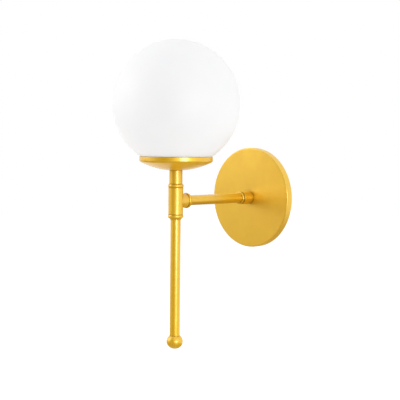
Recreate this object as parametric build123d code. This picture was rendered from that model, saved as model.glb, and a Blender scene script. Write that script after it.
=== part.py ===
from build123d import *
from math import atan2, cos, pi, sin, sqrt
import os

# Globe wall sconce, in millimetres. The wall is the plane y = 0, the light stands out towards -Y,
# and Z is up. The origin is where the arm's axis meets the wall.

# ---------------------------------------------------------------- driving dimensions
reach = 138.0  # wall to the axis of the upright

# opal globe
globe_r = 75.0
globe_wall = 2.5
globe_opening_r = 39.7  # at the outer edge of the glass
globe_edge_round = 0.6

# dish under the globe
dish_rim_r = 43.25
dish_lip = 4.0  # height of the upright band
dish_corner_r = 3.0
dish_height = 16.4  # from the bowl's lowest point to the rim
dish_wall = 1.0
dish_flat_r = 10.5  # the flat where it is clamped
dish_edge_round = 0.35

# tubes of the arm and the upright
tube_r = 6.0
tube_bore_r = 5.05
rod_length = 141.3

# threaded tube that ties every joint together
nipple_r = 5.0
nipple_bore_r = 3.8
grip = 10.0  # length screwed into each tube
tee_grip = 5.0  # length screwed into each branch of the tee

# tee and its beaded rings
tee_r = 8.75
tee_half_height = 16.0
branch_r = 8.3
branch_length = 15.0
ring_bead_r = 9.2
ring_foot_r = 8.5
ring_width = 4.0
ring_shoulder = 2.0
ring_shoulder_r = 7.6
ring_nose_r = 6.5
ring_seat_depth = 3.0

# neck between tee and dish
sleeve_r = 7.75
sleeve_length = 16.4

# coupling on the wall plate
coupling_r = 8.0
coupling_length = 16.6
coupling_seat_depth = 8.6
coupling_ring_r = 7.8
coupling_ring_length = 3.4
groove_chamfer = 1.1
edge_chamfer = 0.5

# ball at the foot of the rod
ball_r = 9.75
ball_half_height = 8.8
ball_flat_r = 6.4
ball_grip = 8.5

# wall plate
plate_r = 62.5
plate_depth = 9.0
plate_wall = 1.2
plate_corner_r = 1.2

# wall bracket
bracket_width = 18.0
bracket_thickness = 2.0
bracket_end_gap = 1.8  # from the ear to the inside of the plate's rim
bracket_eye_r = 12.0
bracket_hole_r = 7.0
slot_spacing = 79.4
slot_length = 14.0
slot_width = 4.5
ear_width = 12.0
ear_height = 7.2
side_screw_out = 4.0  # height of the side screws' axis above the wall

# small screws
screw_r = 2.0
side_screw_length = 8.0
side_screw_sink = 0.2
hex_key = 2.0
earth_screw_z = -22.0
earth_head_r = 3.5
earth_head_height = 2.2
driver_slot = 0.8

# nuts, washer and earth tags
nut_flats = 14.0
plate_nut_height = 2.5
dish_nut_height = 3.0
washer_thickness = 0.7
washer_r = 8.0
washer_teeth = 12
tag_thickness = 0.6
nipple_tag_r = 8.0
screw_tag_r = 4.0
tag_tail = 4.0
barrel_r = 1.4
barrel_length = 5.0

# insulated wires
wire_r = 0.9
wire_offset = 1.6  # of each wire from the middle of the bore
tee_bend_r = 10.0
terminal_bend_r = 3.0
plate_bend_r = 2.6
pan_bend_r = 5.0
wire_out = 3.0  # height of the wires above the wall, inside the plate
wire_entry = 3.0
earth_loop_r = 8.0
earth_loop_x = -24.0

# connector in the wall plate
connector_width = 16.0
connector_height = 13.0
connector_depth = 6.6
connector_x = 12.5
connector_z = 16.5
connector_pitch = 5.5

# leaf springs that hold the globe
spring_thickness = 0.6
spring_width = 7.0
spring_count = 3
spring_hub_r = 8.6
spring_bend_z = 4.6  # height of the lower bend under the globe's edge
spring_rise = 6.0  # straight leaf above the globe's edge
spring_tip = 4.0
spring_bend_r = 2.5

# lampholder
holder_r = 14.0
holder_wall = 1.5
base_height = 12.0
base_boss_height = 6.2
base_boss_wall = 2.2
base_floor = 2.6
spigot_height = 5.6
spigot_wall = 1.6
holder_height = 44.0
core_r = 12.2
core_flange = 6.0
core_neck_r = 10.2
core_height = 21.0
core_floor = 1.0
shell_bore_r = 7.2
shell_wall = 0.35
shell_height = 15.5
contact_thickness = 0.4
contact_width = 5.0
contact_rise = 1.4
terminal_x = 6.5
terminal_width = 4.4
terminal_length = 5.0
terminal_height = 5.0
rivet_r = 1.0
terminal_screw_r = 1.3
terminal_screw_length = 2.4

# screw bulb
bulb_length = 78.0
bulb_r = 22.5
bulb_wall = 0.8
bulb_neck_r = 6.2
cap_r = 6.9
cap_length = 18.0
cap_wall = 0.3
tip_r = 2.6
tip_height = 1.2
insulator_height = 3.5
insulator_foot_r = 3.4
cap_overlap = 4.0
stem_r = 2.0
stem_length = 28.0
filament_r = 0.9
filament_length = 22.0
filament_circle_r = 6.5
filament_count = 4
support_r = 0.35

# clearances
thread_gap = 0.05  # radial, between a thread and its tapped hole
hole_gap = 0.1  # radial, around a tube or screw that passes through
seat_gap = 0.3  # between the globe or the bulb and what carries it

# ---------------------------------------------------------------- derived places
tapped_r = nipple_r + thread_gap
clear_r = nipple_r + hole_gap
socket_r = tube_r + thread_gap

ring_length = ring_width + ring_shoulder
tube_start = ring_length - ring_seat_depth  # from the tee's face to the end of a tube
sleeve_z = tee_half_height + ring_width
dish_flat_z = sleeve_z + sleeve_length

# The bowl is an arc about the axis, tangent to the round corner below the lip.
corner_x = dish_rim_r - dish_corner_r
corner_rise = dish_height - dish_lip
bowl_r = (corner_x**2 + corner_rise**2 - dish_corner_r**2) / (2 * (corner_rise - dish_corner_r))
flat_rise = bowl_r - sqrt(bowl_r**2 - dish_flat_r**2)
dish_z = dish_flat_z - flat_rise
rim_z = dish_z + dish_height

# The globe rests on the rounded inner edge of the lip.
seat_x = dish_rim_r - dish_wall + dish_edge_round
seat_reach = globe_r + dish_edge_round + seat_gap
globe_z = rim_z - dish_edge_round + sqrt(seat_reach**2 - seat_x**2)
globe_edge_z = globe_z - sqrt(globe_r**2 - globe_opening_r**2)
globe_inner_r = globe_r - globe_wall
globe_mouth_r = sqrt(globe_inner_r**2 - (globe_z - globe_edge_z) ** 2)

spring_z = dish_flat_z + dish_wall
dish_nut_z = spring_z + spring_thickness
holder_z = dish_nut_z + dish_nut_height
nipple_top_z = holder_z + base_boss_height - 0.6
core_z = holder_z + base_height + spigot_height
core_floor_z = core_z + core_floor
terminal_z = core_z - terminal_height
shell_z = core_z + core_height - shell_height
bulb_z = core_floor_z + contact_rise + seat_gap
insulator_z = bulb_z + tip_height
cap_z = insulator_z + insulator_height
cap_top_z = cap_z + cap_length
bulb_centre_z = bulb_z + bulb_length - bulb_r
insulator_top_r = cap_r - 1.4
stem_z = cap_top_z - cap_overlap + thread_gap
stem_top_z = stem_z + stem_length
filament_z = bulb_centre_z - filament_length / 2

rod_z = -(tee_half_height + tube_start)
rod_foot_z = rod_z - rod_length
ball_flat_rise = ball_half_height * sqrt(1 - (ball_flat_r / ball_r) ** 2)
ball_z = rod_foot_z - ball_flat_rise

pan_height = plate_depth - plate_wall  # inside face of the plate, out from the wall
tag_out = pan_height - tag_thickness
washer_out = tag_out - washer_thickness
plate_nut_out = washer_out - plate_nut_height
coupling_seat = plate_depth + coupling_length - coupling_seat_depth
coupling_end = plate_depth + coupling_length
branch_end = reach - branch_length
arm_front = branch_end - tube_start
ear_z = plate_r - plate_wall - bracket_end_gap
nipple_tag_barrel = nipple_tag_r + 2.0
screw_tag_barrel = screw_tag_r + 3.5
nipple_tag_wire_out = pan_height - barrel_r
screw_tag_wire_out = bracket_thickness + barrel_r

# ---------------------------------------------------------------- helpers


def turned(outline):
    """Solid turned about Z from a closed outline of (radius, 0, height) edges."""
    return revolve(make_face(outline), Axis.Z)


def turned_points(*points):
    """Solid turned about Z from straight runs through (radius, height) points."""
    return turned(Polyline(*[(r, 0, z) for r, z in points], close=True))


def tube(outer_r, inner_r, z_low, z_high):
    """Plain tube about Z."""
    return turned_points((inner_r, z_low), (outer_r, z_low), (outer_r, z_high), (inner_r, z_high))


def out_from_wall(solid):
    """Turns a solid made along Z so that its height runs out from the wall, along -Y."""
    return Rot(90, 0, 0) * solid


def arc_point(centre_x, centre_z, radius, angle):
    return (centre_x + radius * cos(angle), 0, centre_z + radius * sin(angle))


def arc_about(centre_x, centre_z, radius, start, end):
    """Arc in the XZ plane from angle start to angle end."""
    points = [arc_point(centre_x, centre_z, radius, a) for a in (start, (start + end) / 2, end)]
    return ThreePointArc(*points)


def outer_edges(solid, radius):
    """Circular edges of one radius."""
    return [e for e in solid.edges().filter_by(GeomType.CIRCLE) if abs(e.radius - radius) < 1e-3]


def bored_hex(flats, height, bore_r):
    """Hexagonal nut about Z, its corners taken off by a cone."""
    corner_r = flats / sqrt(3)
    block = extrude(RegularPolygon(flats / 2, 6, major_radius=False), height)
    dome = tube(corner_r + 1, bore_r / 2, 0, height) - tube(corner_r + 2, corner_r + 0.5, -1, height + 1)
    for z in (0, height):
        dome = chamfer([e for e in outer_edges(dome, corner_r + 0.5) if abs(e.center().Z - z) < 1e-3], 0.9)
    return (block & dome) - Cylinder(bore_r, 3 * height)


def wire(points, radii):
    """Insulated wire along straight runs joined by tangent arcs."""
    route = FilletPolyline(*points, radius=radii)
    return sweep(Plane(origin=route @ 0, z_dir=route % 0) * Circle(wire_r), path=route)


# ---------------------------------------------------------------- wall plate and bracket


def make_wall_bracket():
    slot = Rot(0, 0, 90) * SlotOverall(slot_length, slot_width)
    strap = Rectangle(bracket_width, 2 * ear_z) + Circle(bracket_eye_r)
    strap -= Circle(bracket_hole_r) + Pos(0, earth_screw_z) * Circle(screw_r + thread_gap)
    for side in (-1, 1):
        strap -= Pos(0, side * slot_spacing / 2) * slot
    bracket = extrude(strap, bracket_thickness)
    for side in (-1, 1):
        ear_y = side * (ear_z - bracket_thickness / 2)
        ear = Pos(0, ear_y, ear_height / 2) * Box(ear_width, bracket_thickness, ear_height)
        bore = Pos(0, ear_y, side_screw_out) * Rot(90, 0, 0) * Cylinder(screw_r + thread_gap, 10)
        bracket = bracket + ear - bore
    corners = [e for e in bracket.edges().filter_by(Axis.X) if abs(e.center().Z) < 1e-3]
    outer = [e for e in corners if abs(abs(e.center().Y) - ear_z) < 1e-3]
    return out_from_wall(fillet(outer, bracket_thickness * 0.8))


def make_backplate():
    pan = tube(plate_r, clear_r, 0, plate_depth)
    pan -= Cylinder(plate_r - plate_wall, 2 * pan_height)
    top_edge = [e for e in outer_edges(pan, plate_r) if e.center().Z > pan_height]
    pan = fillet(top_edge, plate_corner_r)
    inner_edge = [e for e in outer_edges(pan, plate_r - plate_wall) if e.center().Z > 1]
    pan = fillet(inner_edge, plate_corner_r / 3)
    for side in (-1, 1):
        hole = Rot(90, 0, 0) * Cylinder(screw_r + hole_gap, 4 * plate_wall)
        pan -= Pos(0, side * (plate_r - plate_wall / 2), side_screw_out) * hole
    return out_from_wall(pan)


def make_side_screws():
    outer_end = plate_r - side_screw_sink
    screw = Pos(0, 0, outer_end - side_screw_length / 2) * Cylinder(screw_r, side_screw_length)
    screw = chamfer(outer_edges(screw, screw_r), 0.3)
    socket = extrude(RegularPolygon(hex_key / 2, 6, major_radius=False), -hex_key)
    screw = Pos(0, -side_screw_out, 0) * (screw - Pos(0, 0, outer_end) * socket)
    return Compound(children=[screw, Rot(0, 180, 0) * screw])


def make_earth_screw():
    head_out = bracket_thickness + tag_thickness
    head = Pos(0, 0, head_out + earth_head_height / 2) * Cylinder(earth_head_r, earth_head_height)
    head = fillet([e for e in outer_edges(head, earth_head_r) if e.center().Z > head_out + 1], 0.8)
    slot_out = head_out + earth_head_height
    head -= Pos(0, 0, slot_out) * Box(3 * earth_head_r, driver_slot, 2 * driver_slot)
    shank = Pos(0, 0, (head_out + 0.2) / 2) * Cylinder(screw_r, head_out - 0.2)
    return out_from_wall(Pos(0, earth_screw_z, 0) * (head + Pos(0, 0, 0.1) * shank))


def make_tag(ring_r, hole_r, barrel_start):
    """Ring tag lying in XY with its crimp barrel along -X."""
    barrel_end = barrel_start + barrel_length
    tail = Pos(-(hole_r + barrel_start + 1) / 2, 0) * Rectangle(barrel_start + 1 - hole_r, tag_tail)
    ring = extrude(Circle(ring_r) + tail - Circle(hole_r), tag_thickness)
    barrel = Pos(-(barrel_start + barrel_end) / 2, 0, barrel_r) * Rot(0, 90, 0) * (
        Cylinder(barrel_r, barrel_length) - Cylinder(wire_r + thread_gap, 2 * barrel_length)
    )
    bore = Pos(-barrel_start, 0, barrel_r) * Rot(0, 90, 0) * Cylinder(wire_r + thread_gap, 4)
    return ring + barrel - bore


def make_nipple_tag():
    tag = make_tag(nipple_tag_r, tapped_r, nipple_tag_barrel)
    return out_from_wall(Pos(0, 0, pan_height) * Rot(180, 0, 0) * tag)


def make_screw_tag():
    tag = make_tag(screw_tag_r, screw_r + hole_gap, screw_tag_barrel)
    return out_from_wall(Pos(0, earth_screw_z, bracket_thickness) * tag)


def make_earth_lead():
    return wire(
        [
            (-nipple_tag_barrel - 2, -nipple_tag_wire_out, 0),
            (earth_loop_x, -nipple_tag_wire_out, 0),
            (earth_loop_x, -screw_tag_wire_out, earth_screw_z),
            (-screw_tag_barrel - 2, -screw_tag_wire_out, earth_screw_z),
        ],
        [earth_loop_r, earth_loop_r],
    )


def make_plate_washer():
    washer = tube(washer_r, tapped_r, washer_out, tag_out)
    notch = Pos(washer_r, 0, 0) * Box(2.4, 1.6, 4 * pan_height)
    for turn in range(washer_teeth):
        washer -= Rot(0, 0, turn * 360 / washer_teeth) * notch
    return out_from_wall(washer)


def make_plate_nut():
    return out_from_wall(Pos(0, 0, plate_nut_out) * bored_hex(nut_flats, plate_nut_height, tapped_r))


def make_plate_nipple():
    return out_from_wall(tube(nipple_r, nipple_bore_r, plate_nut_out, coupling_seat + grip - 2))


def make_wire_connector():
    block = Box(connector_width, connector_height, connector_depth)
    block = fillet(block.edges().filter_by(Axis.Z), 1.0)
    middle_z = connector_z + connector_height / 2
    middle_out = pan_height - connector_depth / 2
    block = Pos(connector_x + connector_width / 2, middle_z, middle_out) * block
    entry = Rot(0, 90, 0) * Cylinder(wire_r + thread_gap, 2 * wire_entry)
    for x in (connector_x, connector_x + connector_width):
        for side in (-1, 1):
            block -= Pos(x, middle_z + side * connector_pitch / 2, wire_out) * entry
    return out_from_wall(block)


# ---------------------------------------------------------------- arm


def make_arm_coupling():
    body = tube(coupling_r, tapped_r, plate_depth, coupling_end)
    body -= tube(socket_r, tapped_r - 1, coupling_seat, coupling_end + 1)
    front = [e for e in outer_edges(body, coupling_r) if e.center().Z > plate_depth + 1]
    body = chamfer(front, groove_chamfer)
    back = [e for e in outer_edges(body, coupling_r) if e.center().Z < plate_depth + 1]
    return out_from_wall(fillet(back, edge_chamfer))


def make_coupling_ring():
    ring = tube(coupling_ring_r, socket_r, coupling_end, coupling_end + coupling_ring_length)
    back = [e for e in outer_edges(ring, coupling_ring_r) if e.center().Z < coupling_end + 1]
    ring = chamfer(back, groove_chamfer)
    front = [e for e in outer_edges(ring, coupling_ring_r) if e.center().Z > coupling_end + 2]
    return out_from_wall(fillet(front, edge_chamfer * 2))


def make_arm_tube():
    return out_from_wall(tube(tube_r, tube_bore_r, coupling_seat, arm_front))


def make_arm_nipple():
    return out_from_wall(tube(nipple_r, nipple_bore_r, arm_front - grip, branch_end + tee_grip))


# ---------------------------------------------------------------- tee, rings and neck


def make_ring(with_socket):
    """Beaded ring that stands on the tee's face at z = 0."""
    bead = ThreePointArc(
        (ring_foot_r, 0, 0), (ring_bead_r, 0, ring_width / 2), (ring_foot_r, 0, ring_width)
    )
    if with_socket:
        rest = Polyline(
            (ring_foot_r, 0, ring_width),
            (ring_shoulder_r, 0, ring_width),
            (ring_nose_r, 0, ring_length),
            (socket_r, 0, ring_length),
            (socket_r, 0, tube_start),
            (tapped_r, 0, tube_start),
            (tapped_r, 0, 0),
            (ring_foot_r, 0, 0),
        )
    else:
        rest = Polyline(
            (ring_foot_r, 0, ring_width),
            (tapped_r, 0, ring_width),
            (tapped_r, 0, 0),
            (ring_foot_r, 0, 0),
        )
    return turned(bead + rest)


def make_arm_ring():
    ring = Rot(180, 0, 0) * make_ring(True)
    return out_from_wall(Pos(0, 0, branch_end) * ring)


def make_neck_ring():
    return Pos(0, -reach, tee_half_height) * make_ring(False)


def make_rod_ring():
    return Pos(0, -reach, -tee_half_height) * Rot(180, 0, 0) * make_ring(True)


def make_tee_body():
    barrel = Cylinder(tee_r, 2 * tee_half_height)
    barrel = chamfer(outer_edges(barrel, tee_r), edge_chamfer / 2)
    branch = Pos(0, branch_length / 2, 0) * Rot(90, 0, 0) * Cylinder(branch_r, branch_length)
    bores = Cylinder(tapped_r, 3 * tee_half_height)
    bores += Pos(0, branch_length, 0) * Rot(90, 0, 0) * Cylinder(tapped_r, 2 * branch_length)
    return Pos(0, -reach, 0) * (barrel + branch - bores)


def make_neck_sleeve():
    sleeve = tube(sleeve_r, clear_r, sleeve_z, dish_flat_z)
    return Pos(0, -reach, 0) * chamfer(outer_edges(sleeve, sleeve_r), edge_chamfer / 2)


def make_neck_nipple():
    return Pos(0, -reach, 0) * tube(nipple_r, nipple_bore_r, tee_half_height - tee_grip, nipple_top_z)


# ---------------------------------------------------------------- rod and ball


def make_rod_nipple():
    low = rod_z - grip
    return Pos(0, -reach, 0) * tube(nipple_r, nipple_bore_r, low, -(tee_half_height - tee_grip))


def make_rod_tube():
    return Pos(0, -reach, 0) * tube(tube_r, tube_bore_r, rod_foot_z, rod_z)


def make_finial_nipple():
    return Pos(0, -reach, 0) * tube(nipple_r, nipple_bore_r, rod_foot_z - ball_grip, rod_foot_z + grip)


def make_ball_finial():
    half = Ellipse(ball_r, ball_half_height) & Pos(ball_r, 0) * Rectangle(2 * ball_r, 4 * ball_r)
    ball = revolve(Plane.XZ * half, Axis.Z)
    ball &= Pos(0, 0, ball_flat_rise - ball_r) * Box(4 * ball_r, 4 * ball_r, 2 * ball_r)
    hole_depth = ball_grip + seat_gap
    ball -= Pos(0, 0, ball_flat_rise - hole_depth / 2) * Cylinder(tapped_r, hole_depth)
    return Pos(0, -reach, ball_z) * ball


# ---------------------------------------------------------------- dish and globe


def bowl_side(inset):
    """Dish outline from its flat to its rim, moved in by inset along the wall's thickness."""
    tangent = atan2(corner_rise - bowl_r, corner_x)
    radius = bowl_r - inset
    low = flat_rise + inset
    flat_x = sqrt(radius**2 - (bowl_r - low) ** 2)
    start = atan2(low - bowl_r, flat_x)
    bowl = arc_about(0, bowl_r, radius, start, tangent)
    corner = arc_about(corner_x, corner_rise, dish_corner_r - inset, tangent, 0)
    rim_x = dish_rim_r - inset
    lip = Line((rim_x, 0, corner_rise), (rim_x, 0, dish_height))
    return bowl, corner, lip


def make_dish():
    outside = bowl_side(0)
    inside = bowl_side(dish_wall)
    rim = Line(outside[2] @ 1, inside[2] @ 1)
    floor = Polyline(
        inside[0] @ 0, (clear_r, 0, flat_rise + dish_wall), (clear_r, 0, flat_rise), outside[0] @ 0
    )
    dish = turned(Curve() + [*outside, rim, *inside, floor])
    rim_edges = [e for e in dish.edges().filter_by(GeomType.CIRCLE) if e.center().Z > dish_height - 0.1]
    return Pos(0, -reach, dish_z) * fillet(rim_edges, dish_edge_round)


def make_dish_nut():
    return Pos(0, -reach, dish_nut_z) * bored_hex(nut_flats, dish_nut_height, tapped_r)


def make_globe_springs():
    leaf_r = sqrt((globe_mouth_r - seat_gap) ** 2 - (spring_width / 2) ** 2) - spring_thickness / 2
    root_z = spring_z + spring_thickness / 2
    top_z = globe_edge_z + spring_rise
    points = [
        (spring_hub_r - 2, 0, root_z),
        (spring_hub_r, 0, root_z),
        (leaf_r, 0, globe_edge_z - spring_bend_z),
        (leaf_r, 0, top_z),
        (leaf_r - spring_tip, 0, top_z + spring_tip),
    ]
    route = FilletPolyline(*points, radius=[spring_bend_r / 2, spring_bend_r, spring_bend_r])
    strip = Plane(origin=route @ 0, x_dir=(0, 1, 0), z_dir=route % 0)
    leaf = sweep(strip * Rectangle(spring_width, spring_thickness), path=route)
    springs = tube(spring_hub_r, clear_r, spring_z, spring_z + spring_thickness)
    for turn in range(spring_count):
        springs += Rot(0, 0, turn * 360 / spring_count + 30) * leaf
    return Pos(0, -reach, 0) * springs


def make_opal_globe():
    edge_angle = atan2(globe_edge_z - globe_z, globe_opening_r)
    mouth_angle = atan2(globe_edge_z - globe_z, globe_mouth_r)
    outside = arc_about(0, 0, globe_r, edge_angle, pi / 2)
    inside = arc_about(0, 0, globe_inner_r, mouth_angle, pi / 2)
    glass = turned(Curve() + [outside, inside, Line(outside @ 1, inside @ 1), Line(outside @ 0, inside @ 0)])
    glass = fillet(outer_edges(glass, globe_opening_r) + outer_edges(glass, globe_mouth_r), globe_edge_round)
    return Pos(0, -reach, globe_z) * glass


# ---------------------------------------------------------------- lampholder


def make_holder_base():
    top = holder_z + base_height
    spigot_r = holder_r - holder_wall - thread_gap
    room_r = spigot_r - spigot_wall
    boss_r = tapped_r + base_boss_wall
    base = turned_points(
        (tapped_r, holder_z),
        (holder_r, holder_z),
        (holder_r, top),
        (spigot_r, top),
        (spigot_r, core_z),
        (room_r, core_z),
        (room_r, holder_z + base_floor),
        (boss_r, holder_z + base_floor),
        (boss_r, holder_z + base_boss_height),
        (tapped_r, holder_z + base_boss_height),
    )
    foot = [e for e in outer_edges(base, holder_r) if e.center().Z < holder_z + 1]
    return Pos(0, -reach, 0) * fillet(foot, 1.0)


def make_holder_shell():
    shell = tube(holder_r, holder_r - holder_wall, holder_z + base_height, holder_z + holder_height)
    top = [e for e in outer_edges(shell, holder_r) if e.center().Z > holder_z + holder_height - 1]
    return Pos(0, -reach, 0) * fillet(top, 0.6)


def rivet_places():
    return [Pos(side * terminal_x, -reach, 0) for side in (-1, 1)]


def make_holder_core():
    bore_r = shell_bore_r + shell_wall + thread_gap
    core = turned_points(
        (0, core_z),
        (core_r, core_z),
        (core_r, core_z + core_flange),
        (core_neck_r, core_z + core_flange),
        (core_neck_r, core_z + core_height),
        (bore_r, core_z + core_height),
        (bore_r, core_floor_z),
        (0, core_floor_z),
    )
    core = Pos(0, -reach, 0) * core
    for place in rivet_places():
        core -= place * Pos(0, 0, core_z) * Cylinder(rivet_r + thread_gap, 4 * core_floor)
    return core


def make_holder_terminals():
    block = Pos(0, 0, core_z - terminal_height / 2) * Box(terminal_width, terminal_length, terminal_height)
    block -= Pos(0, 0, terminal_z) * Cylinder(wire_r + thread_gap, 2 * wire_entry)
    screw_z = terminal_z + wire_entry / 2
    block -= Pos(0, -terminal_length / 2, screw_z) * Rot(90, 0, 0) * Cylinder(
        terminal_screw_r + thread_gap, 2 * (terminal_length / 2 - wire_r - hole_gap)
    )
    block += Pos(0, 0, core_z + core_floor / 2) * Cylinder(rivet_r, core_floor)
    return Compound(children=[place * block for place in rivet_places()])


def make_terminal_screws():
    inner_end = wire_r + hole_gap
    screw = Rot(90, 0, 0) * Cylinder(terminal_screw_r, terminal_screw_length)
    screw -= Pos(0, -terminal_screw_length / 2, 0) * Box(3 * terminal_screw_r, 1.0, 0.5)
    middle = Pos(0, -inner_end - terminal_screw_length / 2, terminal_z + wire_entry / 2)
    return Compound(children=[place * middle * screw for place in rivet_places()])


def make_screw_shell():
    outer_r = shell_bore_r + shell_wall
    shell = tube(outer_r, shell_bore_r, shell_z, core_z + core_height)
    wall_leg = tube(outer_r, shell_bore_r, core_floor_z, shell_z + 1)
    wall_leg &= Pos(-outer_r, 0, shell_z) * Box(outer_r, contact_width, 2 * shell_height)
    foot_length = outer_r - terminal_x + 2 * rivet_r
    foot = Cylinder(shell_bore_r + shell_wall / 2, contact_thickness)
    foot &= Pos(-outer_r + foot_length / 2, 0, 0) * Box(foot_length, contact_width, 1)
    return Pos(0, -reach, 0) * (shell + wall_leg + Pos(0, 0, core_floor_z + contact_thickness / 2) * foot)


def make_centre_contact():
    strip_end = shell_bore_r - seat_gap
    half = contact_thickness / 2
    low = core_floor_z + half
    high = core_floor_z + contact_rise - half
    route = Polyline(
        (strip_end, 0, low), (1.5, 0, low), (-0.5, 0, high), (-2.0, 0, high), (-2.6, 0, high - 0.5)
    )
    strip = Plane(origin=route @ 0, x_dir=(0, 1, 0), z_dir=route % 0)
    contact = sweep(strip * Rectangle(contact_width - 1, contact_thickness), path=route, transition=Transition.RIGHT)
    return Pos(0, -reach, 0) * contact


# ---------------------------------------------------------------- wires from lampholder to plate


def make_supply_wire(side, x_offset, pan_z):
    """One wire from its lampholder terminal through neck, tee and arm to the connector."""
    terminal_clear = terminal_bend_r * 0.54
    return wire(
        [
            (side * terminal_x, -reach, terminal_z + wire_entry),
            (side * terminal_x, -reach, terminal_z - terminal_clear),
            (x_offset, -reach, nipple_top_z + terminal_clear),
            (x_offset, -reach, 0),
            (x_offset, -wire_out, 0),
            (x_offset, -wire_out, pan_z),
            (connector_x + wire_entry, -wire_out, pan_z),
        ],
        [terminal_bend_r, terminal_bend_r, tee_bend_r, plate_bend_r, pan_bend_r],
    )


def make_live_wire():
    middle_z = connector_z + connector_height / 2
    return make_supply_wire(1, wire_offset, middle_z - connector_pitch / 2)


def make_neutral_wire():
    middle_z = connector_z + connector_height / 2
    return make_supply_wire(-1, -wire_offset, middle_z + connector_pitch / 2)


# ---------------------------------------------------------------- bulb


def bulb_side(inset):
    """Glass outline from the cap to the top: an upright neck, a hollow arc and the ball."""
    start_z = cap_top_z
    drop = bulb_centre_z - start_z
    neck_arc_r = (bulb_neck_r**2 + drop**2 - bulb_r**2) / (2 * (bulb_r - bulb_neck_r))
    tangent = atan2(drop, bulb_neck_r + neck_arc_r)
    neck_x = bulb_neck_r - inset
    neck = Line((neck_x, 0, cap_top_z - cap_overlap), (neck_x, 0, start_z))
    hollow = arc_about(bulb_neck_r + neck_arc_r, start_z, neck_arc_r + inset, pi, pi - tangent)
    ball = arc_about(0, bulb_centre_z, bulb_r - inset, -tangent, pi / 2)
    return neck, hollow, ball


def make_bulb_glass():
    outside = bulb_side(0)
    inside = bulb_side(bulb_wall)
    glass = turned(
        Curve() + [*outside, *inside, Line(outside[0] @ 0, inside[0] @ 0), Line(outside[2] @ 1, inside[2] @ 1)]
    )
    return Pos(0, -reach, 0) * glass


def make_bulb_cap():
    waist_r = bulb_neck_r + thread_gap
    cap = turned_points(
        (insulator_top_r + thread_gap, cap_z),
        (cap_r - 0.8, cap_z),
        (cap_r, cap_z + 1.2),
        (cap_r, cap_top_z),
        (waist_r, cap_top_z),
        (waist_r, cap_top_z - cap_overlap),
        (cap_r - cap_wall, cap_top_z - cap_overlap),
        (cap_r - cap_wall, cap_z + 1.2),
        (insulator_top_r + thread_gap, cap_z + cap_wall),
    )
    return Pos(0, -reach, 0) * cap


def make_bulb_insulator():
    insulator = turned_points(
        (0, insulator_z),
        (insulator_foot_r, insulator_z),
        (insulator_top_r + 0.5, cap_z),
        (insulator_top_r, cap_z),
        (insulator_top_r, cap_z + 1.0),
        (0, cap_z + 1.0),
    )
    return Pos(0, -reach, 0) * insulator


def make_bulb_tip():
    tip = Pos(0, 0, bulb_z + tip_height / 2) * Cylinder(tip_r, tip_height)
    low_edge = [e for e in outer_edges(tip, tip_r) if e.center().Z < bulb_z + tip_height / 2]
    return Pos(0, -reach, 0) * fillet(low_edge, tip_height * 0.6)


def make_bulb_stem():
    flare_r = bulb_neck_r - bulb_wall - thread_gap
    stem = turned_points(
        (0, stem_z),
        (flare_r, stem_z),
        (flare_r, stem_z + 1.2),
        (stem_r, stem_z + 8),
        (stem_r, stem_top_z - 1.5),
        (0, stem_top_z),
    )
    return Pos(0, -reach, 0) * stem


def filament_turns():
    return [Rot(0, 0, 45 + turn * 360 / filament_count) for turn in range(filament_count)]


def make_bulb_filaments():
    rod = Pos(filament_circle_r, 0, bulb_centre_z) * Cylinder(filament_r, filament_length)
    return Compound(children=[Pos(0, -reach, 0) * turn * rod for turn in filament_turns()])


def make_bulb_supports():
    """Star of fine wires above the filaments, and a spoke from the stem under each."""
    star_z = filament_z + filament_length + support_r
    post_foot = stem_top_z
    top = Pos(0, 0, (post_foot + star_z) / 2) * Cylinder(support_r, star_z - post_foot)
    reach_out = filament_circle_r + filament_r
    ray = Pos(reach_out / 2, 0, star_z) * Rot(0, 90, 0) * Cylinder(support_r, reach_out)
    spoke_length = reach_out - stem_r - thread_gap
    spoke_x = reach_out - spoke_length / 2
    spoke = Pos(spoke_x, 0, filament_z - support_r) * Rot(0, 90, 0) * Cylinder(support_r, spoke_length)
    for turn in filament_turns():
        top += turn * ray
    spokes = [turn * spoke for turn in filament_turns()]
    return Compound(children=[Pos(0, -reach, 0) * piece for piece in (top, *spokes)])


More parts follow.
